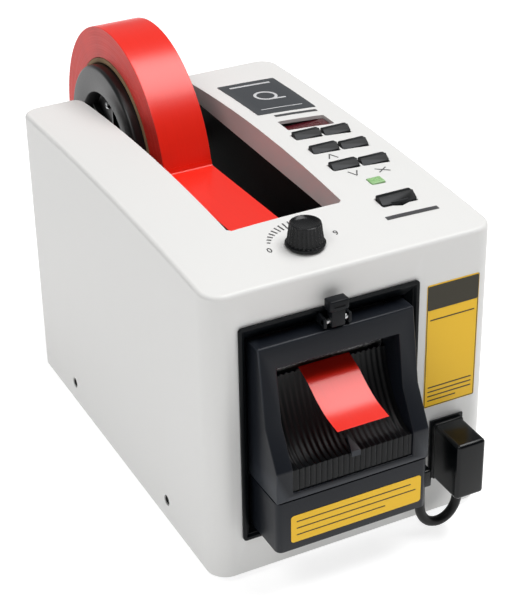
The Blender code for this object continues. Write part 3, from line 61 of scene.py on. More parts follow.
# %% Millimetres from the case's front
MM = 0.001
CASE_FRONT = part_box("case_shell")[0].y
CASE_HALF = 59.5
CASE_DEPTH = 184
CASE_FOOT = 3
CASE_EDGE = 125.8
CROWN_ALONG = 2.5
CROWN_BOTH = 3.6
X, Y, Z = (Vector(axis) for axis in ((1, 0, 0), (0, 1, 0), (0, 0, 1)))


def at(x, y, z):
    return Vector((x * MM, y * MM + CASE_FRONT, z * MM))


def lift(x, y):
    """Rise of the crowned top above its front and back edges."""
    across = 1 - (x / CASE_HALF) ** 2
    along = 1 - ((y - CASE_DEPTH / 2) / (CASE_DEPTH / 2)) ** 2
    return CROWN_ALONG * along + CROWN_BOTH * across * along


def crown(x, y):
    return CASE_EDGE + lift(x, y)


print("top at its middle:", round(crown(0, CASE_DEPTH / 2), 2), "mm")

# %% [markdown]
# ## The camera
# The photograph was fitted with the case's edges, the well and the roll, which gives the camera's place,
# its three axes and a long lens. Setting the axes as the columns of a matrix keeps the slight roll that a
# look-at constraint would lose.

# %% Camera of the photograph
bpy.ops.object.select_all(action="DESELECT")
bpy.ops.object.camera_add()
camera = bpy.context.object
camera.name = "photo_camera"
camera_right = Vector((0.8912108, -0.4532916, -0.0164344))
camera_up = Vector((0.2410044, 0.4425193, 0.8637671))
camera_axes = Matrix((camera_right, camera_up, camera_right.cross(camera_up))).transposed()
camera.matrix_world = Matrix.Translation(at(-271.405, -469.8, 426.94)) @ camera_axes.to_4x4()
camera.data.sensor_width = 36
camera.data.lens = 104.417
bpy.context.scene.camera = camera
print("camera at", [round(v, 3) for v in camera.location])

# %% [markdown]
# ## Light and floor
# The picture is a studio shot on a lit white table: one large softbox overhead, a little to the right, whose
# image is the pale band on the red tape, and a weaker one high at the front left. The black mouldings show
# that the room in front was dark and the wall behind pale, so the world grows brighter from front to back.
# The table glows, which keeps the ground white under a faint shadow and lights the sides from below. The
# Standard view keeps whites white.

# %% Helpers for node trees


def fill(tree, socket, value):
    """Link a socket to another node's socket, or set it to a number, vector or colour."""
    if isinstance(value, bpy.types.NodeSocket):
        tree.links.new(value, socket)
    else:
        socket.default_value = value


def put(tree, kind, settings=(), **values):
    """Add a shader node and fill its sockets by name."""
    made = tree.nodes.new("ShaderNode" + kind)
    for key, value in dict(settings).items():
        setattr(made, key, value)
    for key, value in values.items():
        fill(tree, made.inputs[key.replace("_", " ")], value)
    return made

# %% Room, softboxes and table
bpy.context.scene.view_settings.view_transform = "Standard"
world = bpy.context.scene.world or bpy.data.worlds.new("studio")
bpy.context.scene.world = world
world.use_nodes = True
room = world.node_tree
room_way = put(room, "SeparateXYZ", Vector=put(room, "TexCoord").outputs["Generated"])
room_glow = put(room, "MapRange", Value=room_way.outputs["Y"], From_Min=-0.2, From_Max=0.8,
                To_Min=0.09, To_Max=0.34)
backdrop = room.nodes["Background"]
fill(room, backdrop.inputs["Strength"], room_glow.outputs[0])
fill(room, backdrop.inputs["Color"], (1.0, 1.0, 1.0, 1.0))


def softbox(name, place, target, width, length, power):
    """An area light turned towards a target."""
    bpy.ops.object.light_add(type="AREA", location=place)
    light = bpy.context.object
    light.name = name
    light.data.shape = "RECTANGLE"
    light.data.size = length
    light.data.size_y = width
    light.data.energy = power
    light.rotation_euler = (Vector(target) - Vector(place)).to_track_quat("-Z", "Y").to_euler()


softbox("overhead_softbox", (0.86, -0.15, 2.34), (0.0, 0.0, 0.1), 1.32, 1.70, 55)
softbox("left_softbox", (-0.95, -0.5, 1.6), (0.0, 0.0, 0.06), 0.8, 0.8, 9.5)

bpy.ops.object.select_all(action="DESELECT")
bpy.ops.mesh.primitive_plane_add(size=7)
floor = bpy.context.object
floor.name = "studio_floor"
floor_paint = bpy.data.materials.new("pale_floor")
floor_paint.use_nodes = True
floor_shader = floor_paint.node_tree.nodes["Principled BSDF"]
for label, value in {"Base Color": (0.5, 0.5, 0.5, 1), "Roughness": 0.9, "Emission Color": (1, 1, 1, 1),
                     "Emission Strength": 0.76}.items():
    floor_shader.inputs[label].default_value = value
floor.data.materials.append(floor_paint)

# %% [markdown]
# ## The cutter's lead
# A short round lead loops from the cutter unit's side down and up to its plug. The photograph shows nearly
# all of it, so its length is what is seen, about four and a half centimetres. It is one smooth curve with a
# round bevel, through the same route as the CAD tube, and it bends no tighter than a limp lead can. The curve
# is then made a mesh tube, whose box is exact.

# %% Route and tube of the lead
LEAD_RADIUS = 2.0
LEAD_ROUTE = [(26.2, 24.9), (26.25, 16.2), (27.2, 10.4), (30.3, 6.1), (34.95, 4.5),
              (39.6, 6.1), (42.7, 10.4), (43.65, 16.2), (43.7, 20.5)]
LEAD_Y = -8.5


def smooth_through(points, steps):
    """Catmull-Rom points through a list of tuples."""
    padded = [points[0]] + list(points) + [points[-1]]
    result = []
    for a, b, c, d in zip(padded, padded[1:], padded[2:], padded[3:]):
        for t in (k / steps for k in range(steps)):
            result.append(tuple(
                0.5 * (2 * q + (r - p) * t + (2 * p - 5 * q + 4 * r - s) * t ** 2
                       + (3 * q - p - 3 * r + s) * t ** 3)
                for p, q, r, s in zip(a, b, c, d)))
    return result + [tuple(points[-1])]


lead_points = [at(x, LEAD_Y, z) for x, z in smooth_through(LEAD_ROUTE, 4)]
lead_curve = bpy.data.curves.new("cutter_lead_tube", "CURVE")
lead_curve.dimensions = "3D"
lead_curve.bevel_depth = LEAD_RADIUS * MM
lead_curve.bevel_resolution = 6
lead_curve.use_fill_caps = True
lead_line = lead_curve.splines.new("POLY")
lead_line.points.add(len(lead_points) - 1)
for point, place in zip(lead_line.points, lead_points):
    point.co = (*place, 1)
lead = bpy.data.objects.new("cutter_lead_tube", lead_curve)
bpy.context.scene.collection.objects.link(lead)
bpy.ops.object.select_all(action="DESELECT")
lead.select_set(True)
bpy.context.view_layer.objects.active = lead
bpy.ops.object.convert(target="MESH")
bpy.ops.object.shade_smooth()
lead = bpy.context.object
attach(lead, "machine")
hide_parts("cutter_lead")

# %% [markdown]
# ## Shared surface effects
# Four effects come back on several finishes or pieces, so each is a shader node group with its own inputs:
# the fine grain of a moulded skin with a painted highlight on its sharp edges, the rings of something wound,
# the lines of drawn metal, and the streaks along a film. They put out only what changes over the surface; the
# shader itself stays in each material.

# %% Maths in a node tree


def maths(tree, operation, *values, kind="Math"):
    """Add a maths node, for vectors if kind is VectorMath, and fill its sockets in order."""
    made = put(tree, kind, {"operation": operation})
    for socket, value in zip(made.inputs, values):
        fill(tree, socket, value)
    return made.outputs["Value" if operation == "LENGTH" else 0]


def sway(tree, noise, spread, middle):
    """A value that wanders about a middle as a noise does."""
    return maths(tree, "MULTIPLY_ADD", maths(tree, "SUBTRACT", noise, 0.5), spread, middle)

# %% Starting and closing an effect
OUT_KINDS = {"Colour": "Color", "Roughness": "Float", "Normal": "Vector"}
LINE_NOISE = {"noise_dimensions": "1D"}


def effect(name, outputs, inputs):
    """A node group with named sockets; returns it, what it is given by name, and its end node."""
    group = bpy.data.node_groups.new(name, "ShaderNodeTree")
    for label, value in inputs.items():
        kind = "NodeSocketFloat"
        if isinstance(value, tuple):
            kind = "NodeSocketColor" if len(value) == 4 else "NodeSocketVector"
        group.interface.new_socket(label, in_out="INPUT", socket_type=kind).default_value = value
    for label in outputs:
        group.interface.new_socket(label, in_out="OUTPUT", socket_type="NodeSocket" + OUT_KINDS[label])
    return group, group.nodes.new("NodeGroupInput").outputs, group.nodes.new("NodeGroupOutput")


def hand_out(group, given, end, colour, height, **others):
    """Link the colour, the bump of a height and any other value to the group's outputs."""
    bump = put(group, "Bump", Height=height, Distance=given["Depth"])
    for label, value in {"Colour": colour, "Normal": bump.outputs[0], **others}.items():
        group.links.new(value, end.inputs[label])


def object_place(group):
    return put(group, "TexCoord").outputs["Object"]

# %% Moulded skin: spark-eroded grain, cloudy tone, and a painted highlight on sharp edges
moulded, given, end = effect("moulded_skin_and_edge_sheen", OUT_KINDS, {
    "Colour": (0.5, 0.5, 0.5, 1.0), "Edge colour": (0.6, 0.6, 0.6, 1.0), "Tone": 0.05, "Roughness": 0.4,
    "Spread": 0.1, "Grain": 2500.0, "Depth": 0.00001})
place = object_place(moulded)
grain = put(moulded, "TexNoise", Vector=place, Scale=given["Grain"], Detail=2.0).outputs[0]
cloud = put(moulded, "TexNoise", Vector=place, Scale=22.0, Detail=4.0).outputs[0]
# Sharp edges get the paler edge colour: a painted highlight where edges catch the light.
edge_sheen = put(moulded, "MapRange", Value=put(moulded, "NewGeometry").outputs["Pointiness"],
             From_Min=0.53, From_Max=0.62)
paint = put(moulded, "MixRGB", Fac=edge_sheen.outputs[0], Color1=given["Colour"], Color2=given["Edge colour"])
tint = put(moulded, "HueSaturation", Color=paint.outputs[0], Value=sway(moulded, cloud, given["Tone"], 1.0))
hand_out(moulded, given, end, tint.outputs[0], grain,
         Roughness=sway(moulded, grain, given["Spread"], given["Roughness"]))

# %% Wound rings: fine rings about an axis along X, as on the edge of a roll or a card tube
wound, given, end = effect("wound_rings", ("Colour", "Normal"), {
    "Colour": (0.6, 0.1, 0.1, 1.0), "Ring colour": (0.4, 0.05, 0.05, 1.0), "Axis place": (0.0, 0.0, 0.0),
    "Rings": 4000.0, "Depth": 0.00004})
from_axis = maths(wound, "SUBTRACT", object_place(wound), given["Axis place"], kind="VectorMath")
flat = maths(wound, "MULTIPLY", from_axis, (0, 1, 1), kind="VectorMath")
reach = maths(wound, "LENGTH", flat, kind="VectorMath")
ring_noise = put(wound, "TexNoise", LINE_NOISE, Scale=1.0, Detail=3.0,
                 W=maths(wound, "MULTIPLY", reach, given["Rings"])).outputs[0]
tipped = put(wound, "VectorRotate", {"rotation_type": "Y_AXIS"}, Vector=flat, Angle=math.pi / 2)
bearing = put(wound, "TexGradient", {"gradient_type": "RADIAL"}, Vector=tipped.outputs[0])
fan_noise = put(wound, "TexNoise", LINE_NOISE, Scale=1.0, Detail=2.0,
                W=maths(wound, "MULTIPLY", bearing.outputs["Fac"], 14.0)).outputs[0]
share = maths(wound, "MULTIPLY", maths(wound, "MULTIPLY", ring_noise, fan_noise), 2.4)
paint = put(wound, "MixRGB", Fac=share, Color1=given["Colour"], Color2=given["Ring colour"])
hand_out(wound, given, end, paint.outputs[0], ring_noise)

# %% Drawn metal: lines stretched along one direction
drawn, given, end = effect("drawn_metal", OUT_KINDS, {
    "Colour": (0.6, 0.6, 0.6, 1.0), "Lines": (60.0, 2000.0, 2000.0), "Roughness": 0.3, "Spread": 0.2,
    "Depth": 0.00001})
stretched = maths(drawn, "MULTIPLY", object_place(drawn), given["Lines"], kind="VectorMath")
line_noise = put(drawn, "TexNoise", Vector=stretched, Scale=1.0, Detail=3.0).outputs[0]
tint = put(drawn, "HueSaturation", Color=given["Colour"],
           Value=maths(drawn, "MULTIPLY_ADD", line_noise, 0.3, 0.85))
hand_out(drawn, given, end, tint.outputs[0], line_noise,
         Roughness=sway(drawn, line_noise, given["Spread"], given["Roughness"]))

# %% Film streaks: faint lines along the tape's length, which is across X everywhere on its way
streaked, given, end = effect("film_streaks", OUT_KINDS, {
    "Colour": (0.7, 0.02, 0.01, 1.0), "Tone": 0.06, "Roughness": 0.3, "Spread": 0.06, "Depth": 0.000001})
sideways = put(streaked, "SeparateXYZ", Vector=object_place(streaked)).outputs["X"]
line_noise = put(streaked, "TexNoise", LINE_NOISE, Scale=1.0, Detail=4.0,
                 W=maths(streaked, "MULTIPLY", sideways, 900.0)).outputs[0]
tint = put(streaked, "HueSaturation", Color=given["Colour"],
           Value=sway(streaked, line_noise, given["Tone"], 1.0))
hand_out(streaked, given, end, tint.outputs[0], line_noise,
         Roughness=sway(streaked, line_noise, given["Spread"], given["Roughness"]))
print("effects:", moulded.name, wound.name, drawn.name, streaked.name)

# %% [markdown]
# ## Finishes
# Each finish is one material: an effect group feeds colour, roughness and normal, and the numbers that are
# the same all over are set on the shader. Linear colours were judged against the photograph: a neutral white
# case, blue-black cutter, deeper black bezel and liner, and one strong red for the tape.

# %% Materials made from an effect group


def finish(name, group, shader=(), **values):
    """A material whose colour, roughness and normal come from an effect group."""
    made = bpy.data.materials.new(name)
    made.use_nodes = True
    tree = made.node_tree
    principled = tree.nodes["Principled BSDF"]
    skin = tree.nodes.new("ShaderNodeGroup")
    skin.node_tree = group
    for key, value in values.items():
        skin.inputs[key.replace("_", " ")].default_value = value
    tree.links.new(skin.outputs["Colour"], principled.inputs["Base Color"])
    tree.links.new(skin.outputs["Normal"], principled.inputs["Normal"])
    if "Roughness" in skin.outputs:
        tree.links.new(skin.outputs["Roughness"], principled.inputs["Roughness"])
    for key, value in dict(shader).items():
        principled.inputs[key].default_value = value
    return made


# %% Mouldings, rubbers and boards
DULL = {"Specular IOR Level": 0.25}
DEEP = {"Specular IOR Level": 0.12}


# The second colour of a moulding is a painted highlight, used on its sharp edges.
def plastic(name, colour, edge, roughness, grain=2600.0, depth=0.000012, tone=0.06, shader=()):
    return finish(name, moulded, shader, Colour=(*colour, 1), Edge_colour=(*edge, 1), Roughness=roughness,
                  Spread=0.12, Grain=grain, Depth=depth, Tone=tone)


case_white = plastic("case_white", (0.755, 0.752, 0.738), (0.78, 0.78, 0.77), 0.46, 1800.0, 0.000008, 0.015)
cutter_charcoal = plastic("cutter_charcoal", (0.0055, 0.0072, 0.0112), (0.026, 0.030, 0.038), 0.38,
                          shader=DULL)
# The chute's black is deeper than the cutter's: its own black plus painted shade of the recess under the bar.
chute_black_shaded = plastic("chute_black_shaded", (0.0024, 0.0028, 0.0034), (0.006, 0.007, 0.008), 0.42, shader=DULL)
bezel_black = plastic("bezel_black", (0.0026, 0.0036, 0.0046), (0.008, 0.009, 0.011), 0.34, shader=DEEP)
liner_black = plastic("liner_black", (0.0015, 0.0018, 0.002), (0.004, 0.004, 0.004), 0.62, 1600.0, 0.00003,
                      shader=DEEP)
hub_black = plastic("hub_black", (0.0045, 0.0048, 0.0055), (0.012, 0.012, 0.013), 0.34)
key_black = plastic("key_black", (0.0045, 0.005, 0.0055), (0.040, 0.042, 0.045), 0.38, shader=DEEP)
dial_black = plastic("dial_black", (0.004, 0.0045, 0.0052), (0.022, 0.023, 0.025), 0.26, shader=DULL)
plug_black = plastic("plug_black", (0.0010, 0.0017, 0.0022), (0.010, 0.011, 0.012), 0.22, 2200.0, 0.000006,
                     shader=DULL)
rubber_black = plastic("rubber_black", (0.0035, 0.0035, 0.0038), (0.010, 0.010, 0.010), 0.42, 3000.0,
                       0.00002, shader=DULL)
rubber_brown = plastic("rubber_brown", (0.30, 0.115, 0.035), (0.38, 0.16, 0.06), 0.5, 2400.0, 0.00002)
board_green = plastic("board_green", (0.015, 0.11, 0.045), (0.03, 0.16, 0.07), 0.4)
screw_dark = plastic("blackened_steel", (0.004, 0.004, 0.004), (0.008, 0.008, 0.008), 0.7, shader=DEEP)
display_red = plastic("display_red", (0.085, 0.008, 0.014), (0.10, 0.012, 0.018), 0.16, 800.0, 0.000001, 0.2,
                      {"Coat Weight": 0.6, "Coat Roughness": 0.05})
figure_red = plastic("figure_red", (0.10, 0.016, 0.018), (0.12, 0.02, 0.02), 0.3, 800.0, 0.000001, 0.1)
lens_green = plastic("lens_green", (0.29, 0.52, 0.22), (0.45, 0.66, 0.38), 0.28, 900.0, 0.00001, 0.1,
                     {"Subsurface Weight": 0.2, "Subsurface Radius": (0.002, 0.003, 0.002)})
lead.data.materials.append(rubber_black)

# %% Inks, metals, tape and card
SPOOL = (170, 104.7)
SPOOL_LINE = at(0, *SPOOL)


# Inks take the same painted highlight on their edges from their second colour.
def ink(name, colour, edge, roughness, tone=0.06):
    """A printed or stuck-on film, with less grain than a moulding."""
    return plastic(name, colour, edge, roughness, 3000.0, 0.000004, tone, DULL)


def metal(name, colour, roughness, lines=(60.0, 2000.0, 2000.0), depth=0.000008):
    return finish(name, drawn, {"Metallic": 1.0}, Colour=(*colour, 1), Lines=lines, Roughness=roughness,
                  Spread=0.2, Depth=depth)


label_yellow = ink("label_yellow", (0.90, 0.53, 0.018), (0.92, 0.56, 0.03), 0.48, 0.05)
label_brown = ink("label_brown", (0.030, 0.025, 0.014), (0.04, 0.035, 0.02), 0.42)
plate_grey = ink("plate_grey", (0.045, 0.05, 0.056), (0.06, 0.065, 0.07), 0.38)
print_grey = ink("print_grey", (0.06, 0.06, 0.064), (0.08, 0.08, 0.08), 0.45)
print_pale = ink("print_pale", (0.55, 0.56, 0.58), (0.58, 0.59, 0.6), 0.45)
steel = metal("plated_steel", (0.58, 0.585, 0.59), 0.34)
steel_turned = metal("turned_steel", (0.55, 0.555, 0.56), 0.28, (2600.0, 40.0, 40.0))
brass = metal("pinion_brass", (0.70, 0.49, 0.20), 0.33)
tape_film = finish("tape_film", streaked, Colour=(0.83, 0.017, 0.005, 1), Tone=0.08, Roughness=0.30,
                   Spread=0.06)
tape_edge = finish("tape_edge", wound, {"Roughness": 0.5}, Colour=(0.78, 0.030, 0.018, 1),
                   Ring_colour=(0.60, 0.020, 0.012, 1), Axis_place=SPOOL_LINE, Rings=5200.0, Depth=0.00003)
core_card = finish("core_card", wound, {"Roughness": 0.85}, Colour=(0.40, 0.27, 0.15, 1),
                   Ring_colour=(0.22, 0.14, 0.07, 1), Axis_place=SPOOL_LINE, Rings=3000.0, Depth=0.00006)
print(len(bpy.data.materials), "materials")

# %% [markdown]
# ## Modelling by hand, in code
# Nearly every new piece starts as a primitive at its size and place and is shaped in edit mode. These helpers
# do what a hand does with the mouse: pick one object, go into edit mode, and select points, edges or faces by
# where they are.

# %% Selecting and editing


def only(piece):
    """Select one object alone and make it the active one."""
    bpy.ops.object.select_all(action="DESELECT")
    piece.select_set(True)
    bpy.context.view_layer.objects.active = piece


def edit(piece):
    only(piece)
    bpy.ops.object.mode_set(mode="EDIT")
    bpy.ops.mesh.select_all(action="SELECT")


def leave():
    bpy.ops.object.mode_set(mode="OBJECT")


def place_of(part):
    """Middle of a vertex, edge or face, in millimetres from the case's front."""
    corners = [part] if isinstance(part, bmesh.types.BMVert) else part.verts
    middle = sum((corner.co for corner in corners), Vector()) / len(corners)
    return (middle - at(0, 0, 0)) / MM


def pick(piece, kind, test):
    """In edit mode, select only the points, edges or faces whose place passes a test."""
    bpy.ops.mesh.select_mode(type=kind)
    bpy.ops.mesh.select_all(action="DESELECT")
    mesh = bmesh.from_edit_mesh(piece.data)
    parts = {"VERT": mesh.verts, "EDGE": mesh.edges, "FACE": mesh.faces}[kind]
    for part in parts:
        if test(place_of(part), part):
            part.select_set(True)
    mesh.select_flush_mode()
    bmesh.update_edit_mesh(piece.data)


def slide(x, y, z):
    """Move what is selected, in millimetres."""
    bpy.ops.transform.translate(value=Vector((x, y, z)) * MM)


def pull(x, y, z):
    """Extrude what is selected, in millimetres."""
    bpy.ops.mesh.extrude_region_move(TRANSFORM_OT_translate={"value": Vector((x, y, z)) * MM})


def slice_at(axis, *places):
    """Bisect all of the mesh at places along an axis, in millimetres from the case's front."""
    for place in places:
        bpy.ops.mesh.select_all(action="SELECT")
        bpy.ops.mesh.bisect(plane_co=at(0, 0, 0) + axis * (place * MM), plane_no=axis)


def close_up(piece):
    """Merge doubled points and turn every face outwards."""
    edit(piece)
    bpy.ops.mesh.remove_doubles(threshold=0.000002)
    bpy.ops.mesh.normals_make_consistent(inside=False)
    leave()

# %% [markdown]
# Four ways of starting a piece cover nearly everything here: a block, a block with four rounded edges, an
# outline pulled out into a prism, and a profile spun on a lathe. An outline is drawn the way a hand draws
# one: a plane is merged to a single point, and that point is extruded from corner to corner.

# %% Starting a piece


def block(name, low, high, rounding=0.0, steps=3):
    """A cube at its size and place, with all its edges rounded if asked."""
    low, high = at(*low), at(*high)
    bpy.ops.object.select_all(action="DESELECT")
    bpy.ops.mesh.primitive_cube_add(size=1, location=(low + high) / 2, scale=high - low)
    piece = bpy.context.object
    piece.name = name
    bpy.ops.object.transform_apply()
    if rounding:
        edit(piece)
        bpy.ops.mesh.bevel(offset=rounding * MM, segments=steps, affect="EDGES")
        leave()
    return piece


def rounded(name, low, high, corner, axis, steps=4):
    """A block whose four edges along one axis are rounded."""
    piece = block(name, low, high)
    edit(piece)
    pick(piece, "EDGE",
         lambda place, edge: abs((edge.verts[0].co - edge.verts[1].co).normalized().dot(axis)) > 0.9)
    bpy.ops.mesh.bevel(offset=corner * MM, segments=steps, affect="EDGES")
    leave()
    return piece


def pad(name, x, y, width, depth, low, high, corner, steps=4):
    """A block with rounded upright edges, about a place on the top."""
    return rounded(name, (x - width / 2, y - depth / 2, low), (x + width / 2, y + depth / 2, high),
                   corner, Z, steps)

# %% Starting a piece from an outline, or on the lathe


def draw(name, points):
    """A chain of edges: a plane merged to one point, which is extruded from point to point."""
    bpy.ops.object.select_all(action="DESELECT")
    bpy.ops.mesh.primitive_plane_add(size=MM, location=points[0])
    chain = bpy.context.object
    chain.name = name
    bpy.ops.object.transform_apply()
    edit(chain)
    bpy.ops.mesh.select_mode(type="VERT")
    bpy.ops.mesh.merge(type="CENTER")
    for here, there in zip(points, points[1:]):
        bpy.ops.mesh.extrude_region_move(TRANSFORM_OT_translate={"value": there - here})
    leave()
    return chain


def prism(name, outline, along):
    """An outline filled and extruded along a vector in millimetres."""
    piece = draw(name, outline)
    edit(piece)
    bpy.ops.mesh.edge_face_add()
    bpy.ops.mesh.select_all(action="SELECT")
    pull(*along)
    leave()
    close_up(piece)
    return piece


def beam(name, side_view, left, right):
    """A side view of (y, z) points pulled across from left to right."""
    return prism(name, [at(left, y, z) for y, z in side_view], (right - left, 0, 0))


def turn(name, profile, middle, axis=X, out=Z, steps=96):
    """A lathe: a profile of (radius, distance along the axis) spun once round."""
    piece = draw(name, [middle + axis * (along * MM) + out * (radius * MM) for radius, along in profile])
    edit(piece)
    bpy.ops.mesh.spin(steps=steps, angle=2 * math.pi, center=middle, axis=axis)
    leave()
    close_up(piece)
    return piece


def mirrored(half):
    """A lathe profile that is the same towards both ends, from the points of its far half."""
    return [(radius, -along) for radius, along in half] + half[::-1]


def arc(middle_y, middle_z, radius, start, stop, steps):
    """Points (y, z) on an arc, angles in degrees from +y towards +z."""
    angles = [math.radians(start + (stop - start) * k / steps) for k in range(steps + 1)]
    return [(middle_y + radius * math.cos(a), middle_z + radius * math.sin(a)) for a in angles]

# %% Finishing a piece


def apply(piece, kind, **settings):
    only(piece)
    step = piece.modifiers.new(kind.title(), kind)
    for key, value in settings.items():
        setattr(step, key, value)
    bpy.ops.object.modifier_apply(modifier=step.name)


def carve(piece, operation, *tools):
    """Cut with helper pieces, or add them, and use them up."""
    for tool in tools:
        apply(piece, "BOOLEAN", object=tool, operation=operation, solver="EXACT")
        bpy.data.objects.remove(tool, do_unlink=True)


def soften(piece, width, steps=2, angle=35):
    """Round every edge sharper than an angle."""
    apply(piece, "BEVEL", width=width * MM, segments=steps, limit_method="ANGLE",
          angle_limit=math.radians(angle))


def join(first, *others):
    only(first)
    for other in others:
        other.select_set(True)
    bpy.ops.object.join()
    return first


def settle(piece, look, body, stands_for=(), smooth=32):
    """Give a finished piece its material and shading, and the body that it rides on."""
    only(piece)
    piece.data.materials.clear()
    piece.data.materials.append(look)
    bpy.ops.object.shade_smooth_by_angle(angle=math.radians(smooth))
    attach(piece, body)
    if stands_for:
        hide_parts(*stands_for)
    print(piece.name, len(piece.data.polygons), "faces on", body)
    return piece

# %% [markdown]
# ## The case
# The white cover is one moulding: a box open below, with rounded upright corners, a tight top rim and a
# slightly crowned top. A subdivision cage would round the well's crisp edges too, so the box is bevelled,
# sliced into a grid, crowned by lifting its top points, and given a wall before the well and the holes are
# cut. The wall is thinner than the rim's radius, so its inner side doesn't fold over itself. Weighted normals
# at the end keep the large faces even in the light.

# %% Cover: box, corners, crown and wall
CASE_LEFT, CASE_RIGHT = -58.1, 60.9
CORNER = 8
RIM = 1.6
WALL = 1.5
CROWN_LINES_X = (-50.1, -43, -37, -27, -18, -8, 2, 11, 21, 30.2, 38, 46, 53)
CROWN_LINES_Y = (9, 20, 30, 41.5, 55, 70, 86, 105.5, 118, 130, 142, 154, 168)


def raise_top(piece, low):
    """In edit mode, crown all points above a height."""
    for point in bmesh.from_edit_mesh(piece.data).verts:
        place = place_of(point)
        if place.z > low:
            point.co.z += lift(place.x, place.y) * MM
    bmesh.update_edit_mesh(piece.data)


cover = block("case_cover", (CASE_LEFT, 0, CASE_FOOT), (CASE_RIGHT, CASE_DEPTH, CASE_EDGE))
edit(cover)
pick(cover, "EDGE", lambda place, edge: CASE_FOOT + 1 < place.z < CASE_EDGE - 1)
bpy.ops.mesh.bevel(offset=CORNER * MM, segments=8, affect="EDGES")
pick(cover, "FACE", lambda place, face: place.z < CASE_FOOT + 0.1)
bpy.ops.mesh.delete(type="ONLY_FACE")
pick(cover, "EDGE", lambda place, edge: min(v.co.z for v in edge.verts) > (CASE_EDGE - 0.1) * MM)
bpy.ops.mesh.bevel(offset=RIM * MM, segments=5, affect="EDGES")
slice_at(X, *CROWN_LINES_X)
slice_at(Y, *CROWN_LINES_Y)
raise_top(cover, CASE_EDGE - RIM - 0.05)
leave()
apply(cover, "SOLIDIFY", thickness=WALL * MM, offset=-1, use_even_offset=True)
print("cover wall", WALL, "mm,", len(cover.data.polygons), "faces")

# %% Lip round the well, then the well
WELL_LEFT, WELL_RIGHT, WELL_FRONT, WELL_SILL = -31.4, 16.5, 37, 43.7
WELL_CORNER = 1.5
FLARE = 7
lip = block("well_lip", (WELL_LEFT - 2, WELL_FRONT - 2, 120.5), (WELL_RIGHT + 2, 182.75, CASE_EDGE - 1.2))
edit(lip)
slice_at(X, -26, -14, -2, 9)
slice_at(Y, 48, 63, 79, 96, 112, 125, 138, 151, 167)
raise_top(lip, 122)
leave()
carve(cover, "UNION", lip)

front_corners = [(WELL_LEFT, WELL_FRONT + WELL_CORNER), (WELL_LEFT + WELL_CORNER, WELL_FRONT),
                 (WELL_RIGHT - WELL_CORNER, WELL_FRONT), (WELL_RIGHT, WELL_FRONT + WELL_CORNER)]
right_flare = arc(WELL_RIGHT + FLARE, CASE_DEPTH - FLARE, FLARE, 180, 90, 6)
left_flare = arc(WELL_LEFT - FLARE, CASE_DEPTH - FLARE, FLARE, 90, 0, 6)
behind = [(WELL_RIGHT + FLARE, 200), (WELL_LEFT - FLARE, 200)]
well_plan = front_corners + right_flare + behind + left_flare
carve(cover, "DIFFERENCE", prism("well_tool", [at(x, y, WELL_SILL) for x, y in well_plan], (0, 0, 120)))

# %% Holes in the top: each is a place and a size, a little larger than what stands in it
KEY_SIZE = (11.7, 5.5)
KEY_COLUMNS = {"left": 31.4, "right": 44.6}
KEY_ROWS = (93, 78.5, 62.5)
LARGE_KEY = (36.2, 31, 14.8, 6.4)
LENS = (36.6, 46.8, 6.0, 5.0)
DISPLAY = (37.8, 105.5, 21.5, 10)
DIAL = (-10.2, 16.9)


def larger(x, y, width, depth, by):
    return x, y, width + by, depth + by


def thumb_shape(name, half, corner, tip, low, height):
    """The pointed lip in front of the large key: its plan pulled up from a height."""
    plan = ((-half, -2.6), (-half, -corner), (0, -tip), (half, -corner), (half, -2.6))
    return prism(name, [at(LARGE_KEY[0] + x, LARGE_KEY[1] + y, low) for x, y in plan], (0, 0, height))


top_holes = [larger(x, y, *KEY_SIZE, 0.6) for x in KEY_COLUMNS.values() for y in KEY_ROWS]
top_holes += [larger(*LARGE_KEY, 0.8), larger(*LENS, 0.5), DISPLAY, (*DIAL, 7, 7)]
carve(cover, "DIFFERENCE", join(*[pad("hole_tool", *hole, 115, 145, 0.9) for hole in top_holes]))
carve(cover, "DIFFERENCE", thumb_shape("thumb_tool", 4, 3.45, 4.85, 115, 30))

# %% Openings in the walls: bezel, plug, mains socket and side screws
WALL_OPENINGS = (((-44.5, -6, 20.8), (25.7, 6, 109.8)),
                 ((36.9, -6, 22), (47.1, 6, 44.6)),
                 ((28.7, 174, 15.7), (49.3, 194, 42.3)))
SIDE_SCREWS = {"front": 44.2, "back": 141.4}
SIDE_SCREW_HEIGHT = 12.4
SCREW_HOLE = [(0, -6), (2.3, -6), (2.3, 6), (0, 6)]
wall_tools = [block("wall_tool", *ends) for ends in WALL_OPENINGS]
wall_tools += [turn("wall_tool", SCREW_HOLE, at(side * CASE_HALF, y, SIDE_SCREW_HEIGHT), steps=28)
               for side in (-1, 1) for y in SIDE_SCREWS.values()]
carve(cover, "DIFFERENCE", join(*wall_tools))
soften(cover, 0.4, 2, 40)
settle(cover, case_white, "machine", ["case_shell"], 30)
apply(cover, "WEIGHTED_NORMAL", keep_sharp=True)

# %% [markdown]
# ## Roll, core and hub
# The roll is hundreds of turns of thin red film on a card core, carried by a hub of two moulded halves. All
# are turned shapes, so each is a profile spun about the spool's axis. The roll's sides are not quite flat on
# a real roll, so its profile wanders by a few hundredths of a millimetre from ring to ring.

# %% Winding and card core
ROLL_MIDDLE = -10.4
ROLL_HALF = 10.7
ROLL_RADIUS = 53.6
ROLL_BORE = 40.4
spool_middle = at(ROLL_MIDDLE, *SPOOL)


def wander(ring):
    return 0.05 * math.sin(1.9 * ring) + 0.04 * math.sin(0.63 * ring + 1.0)


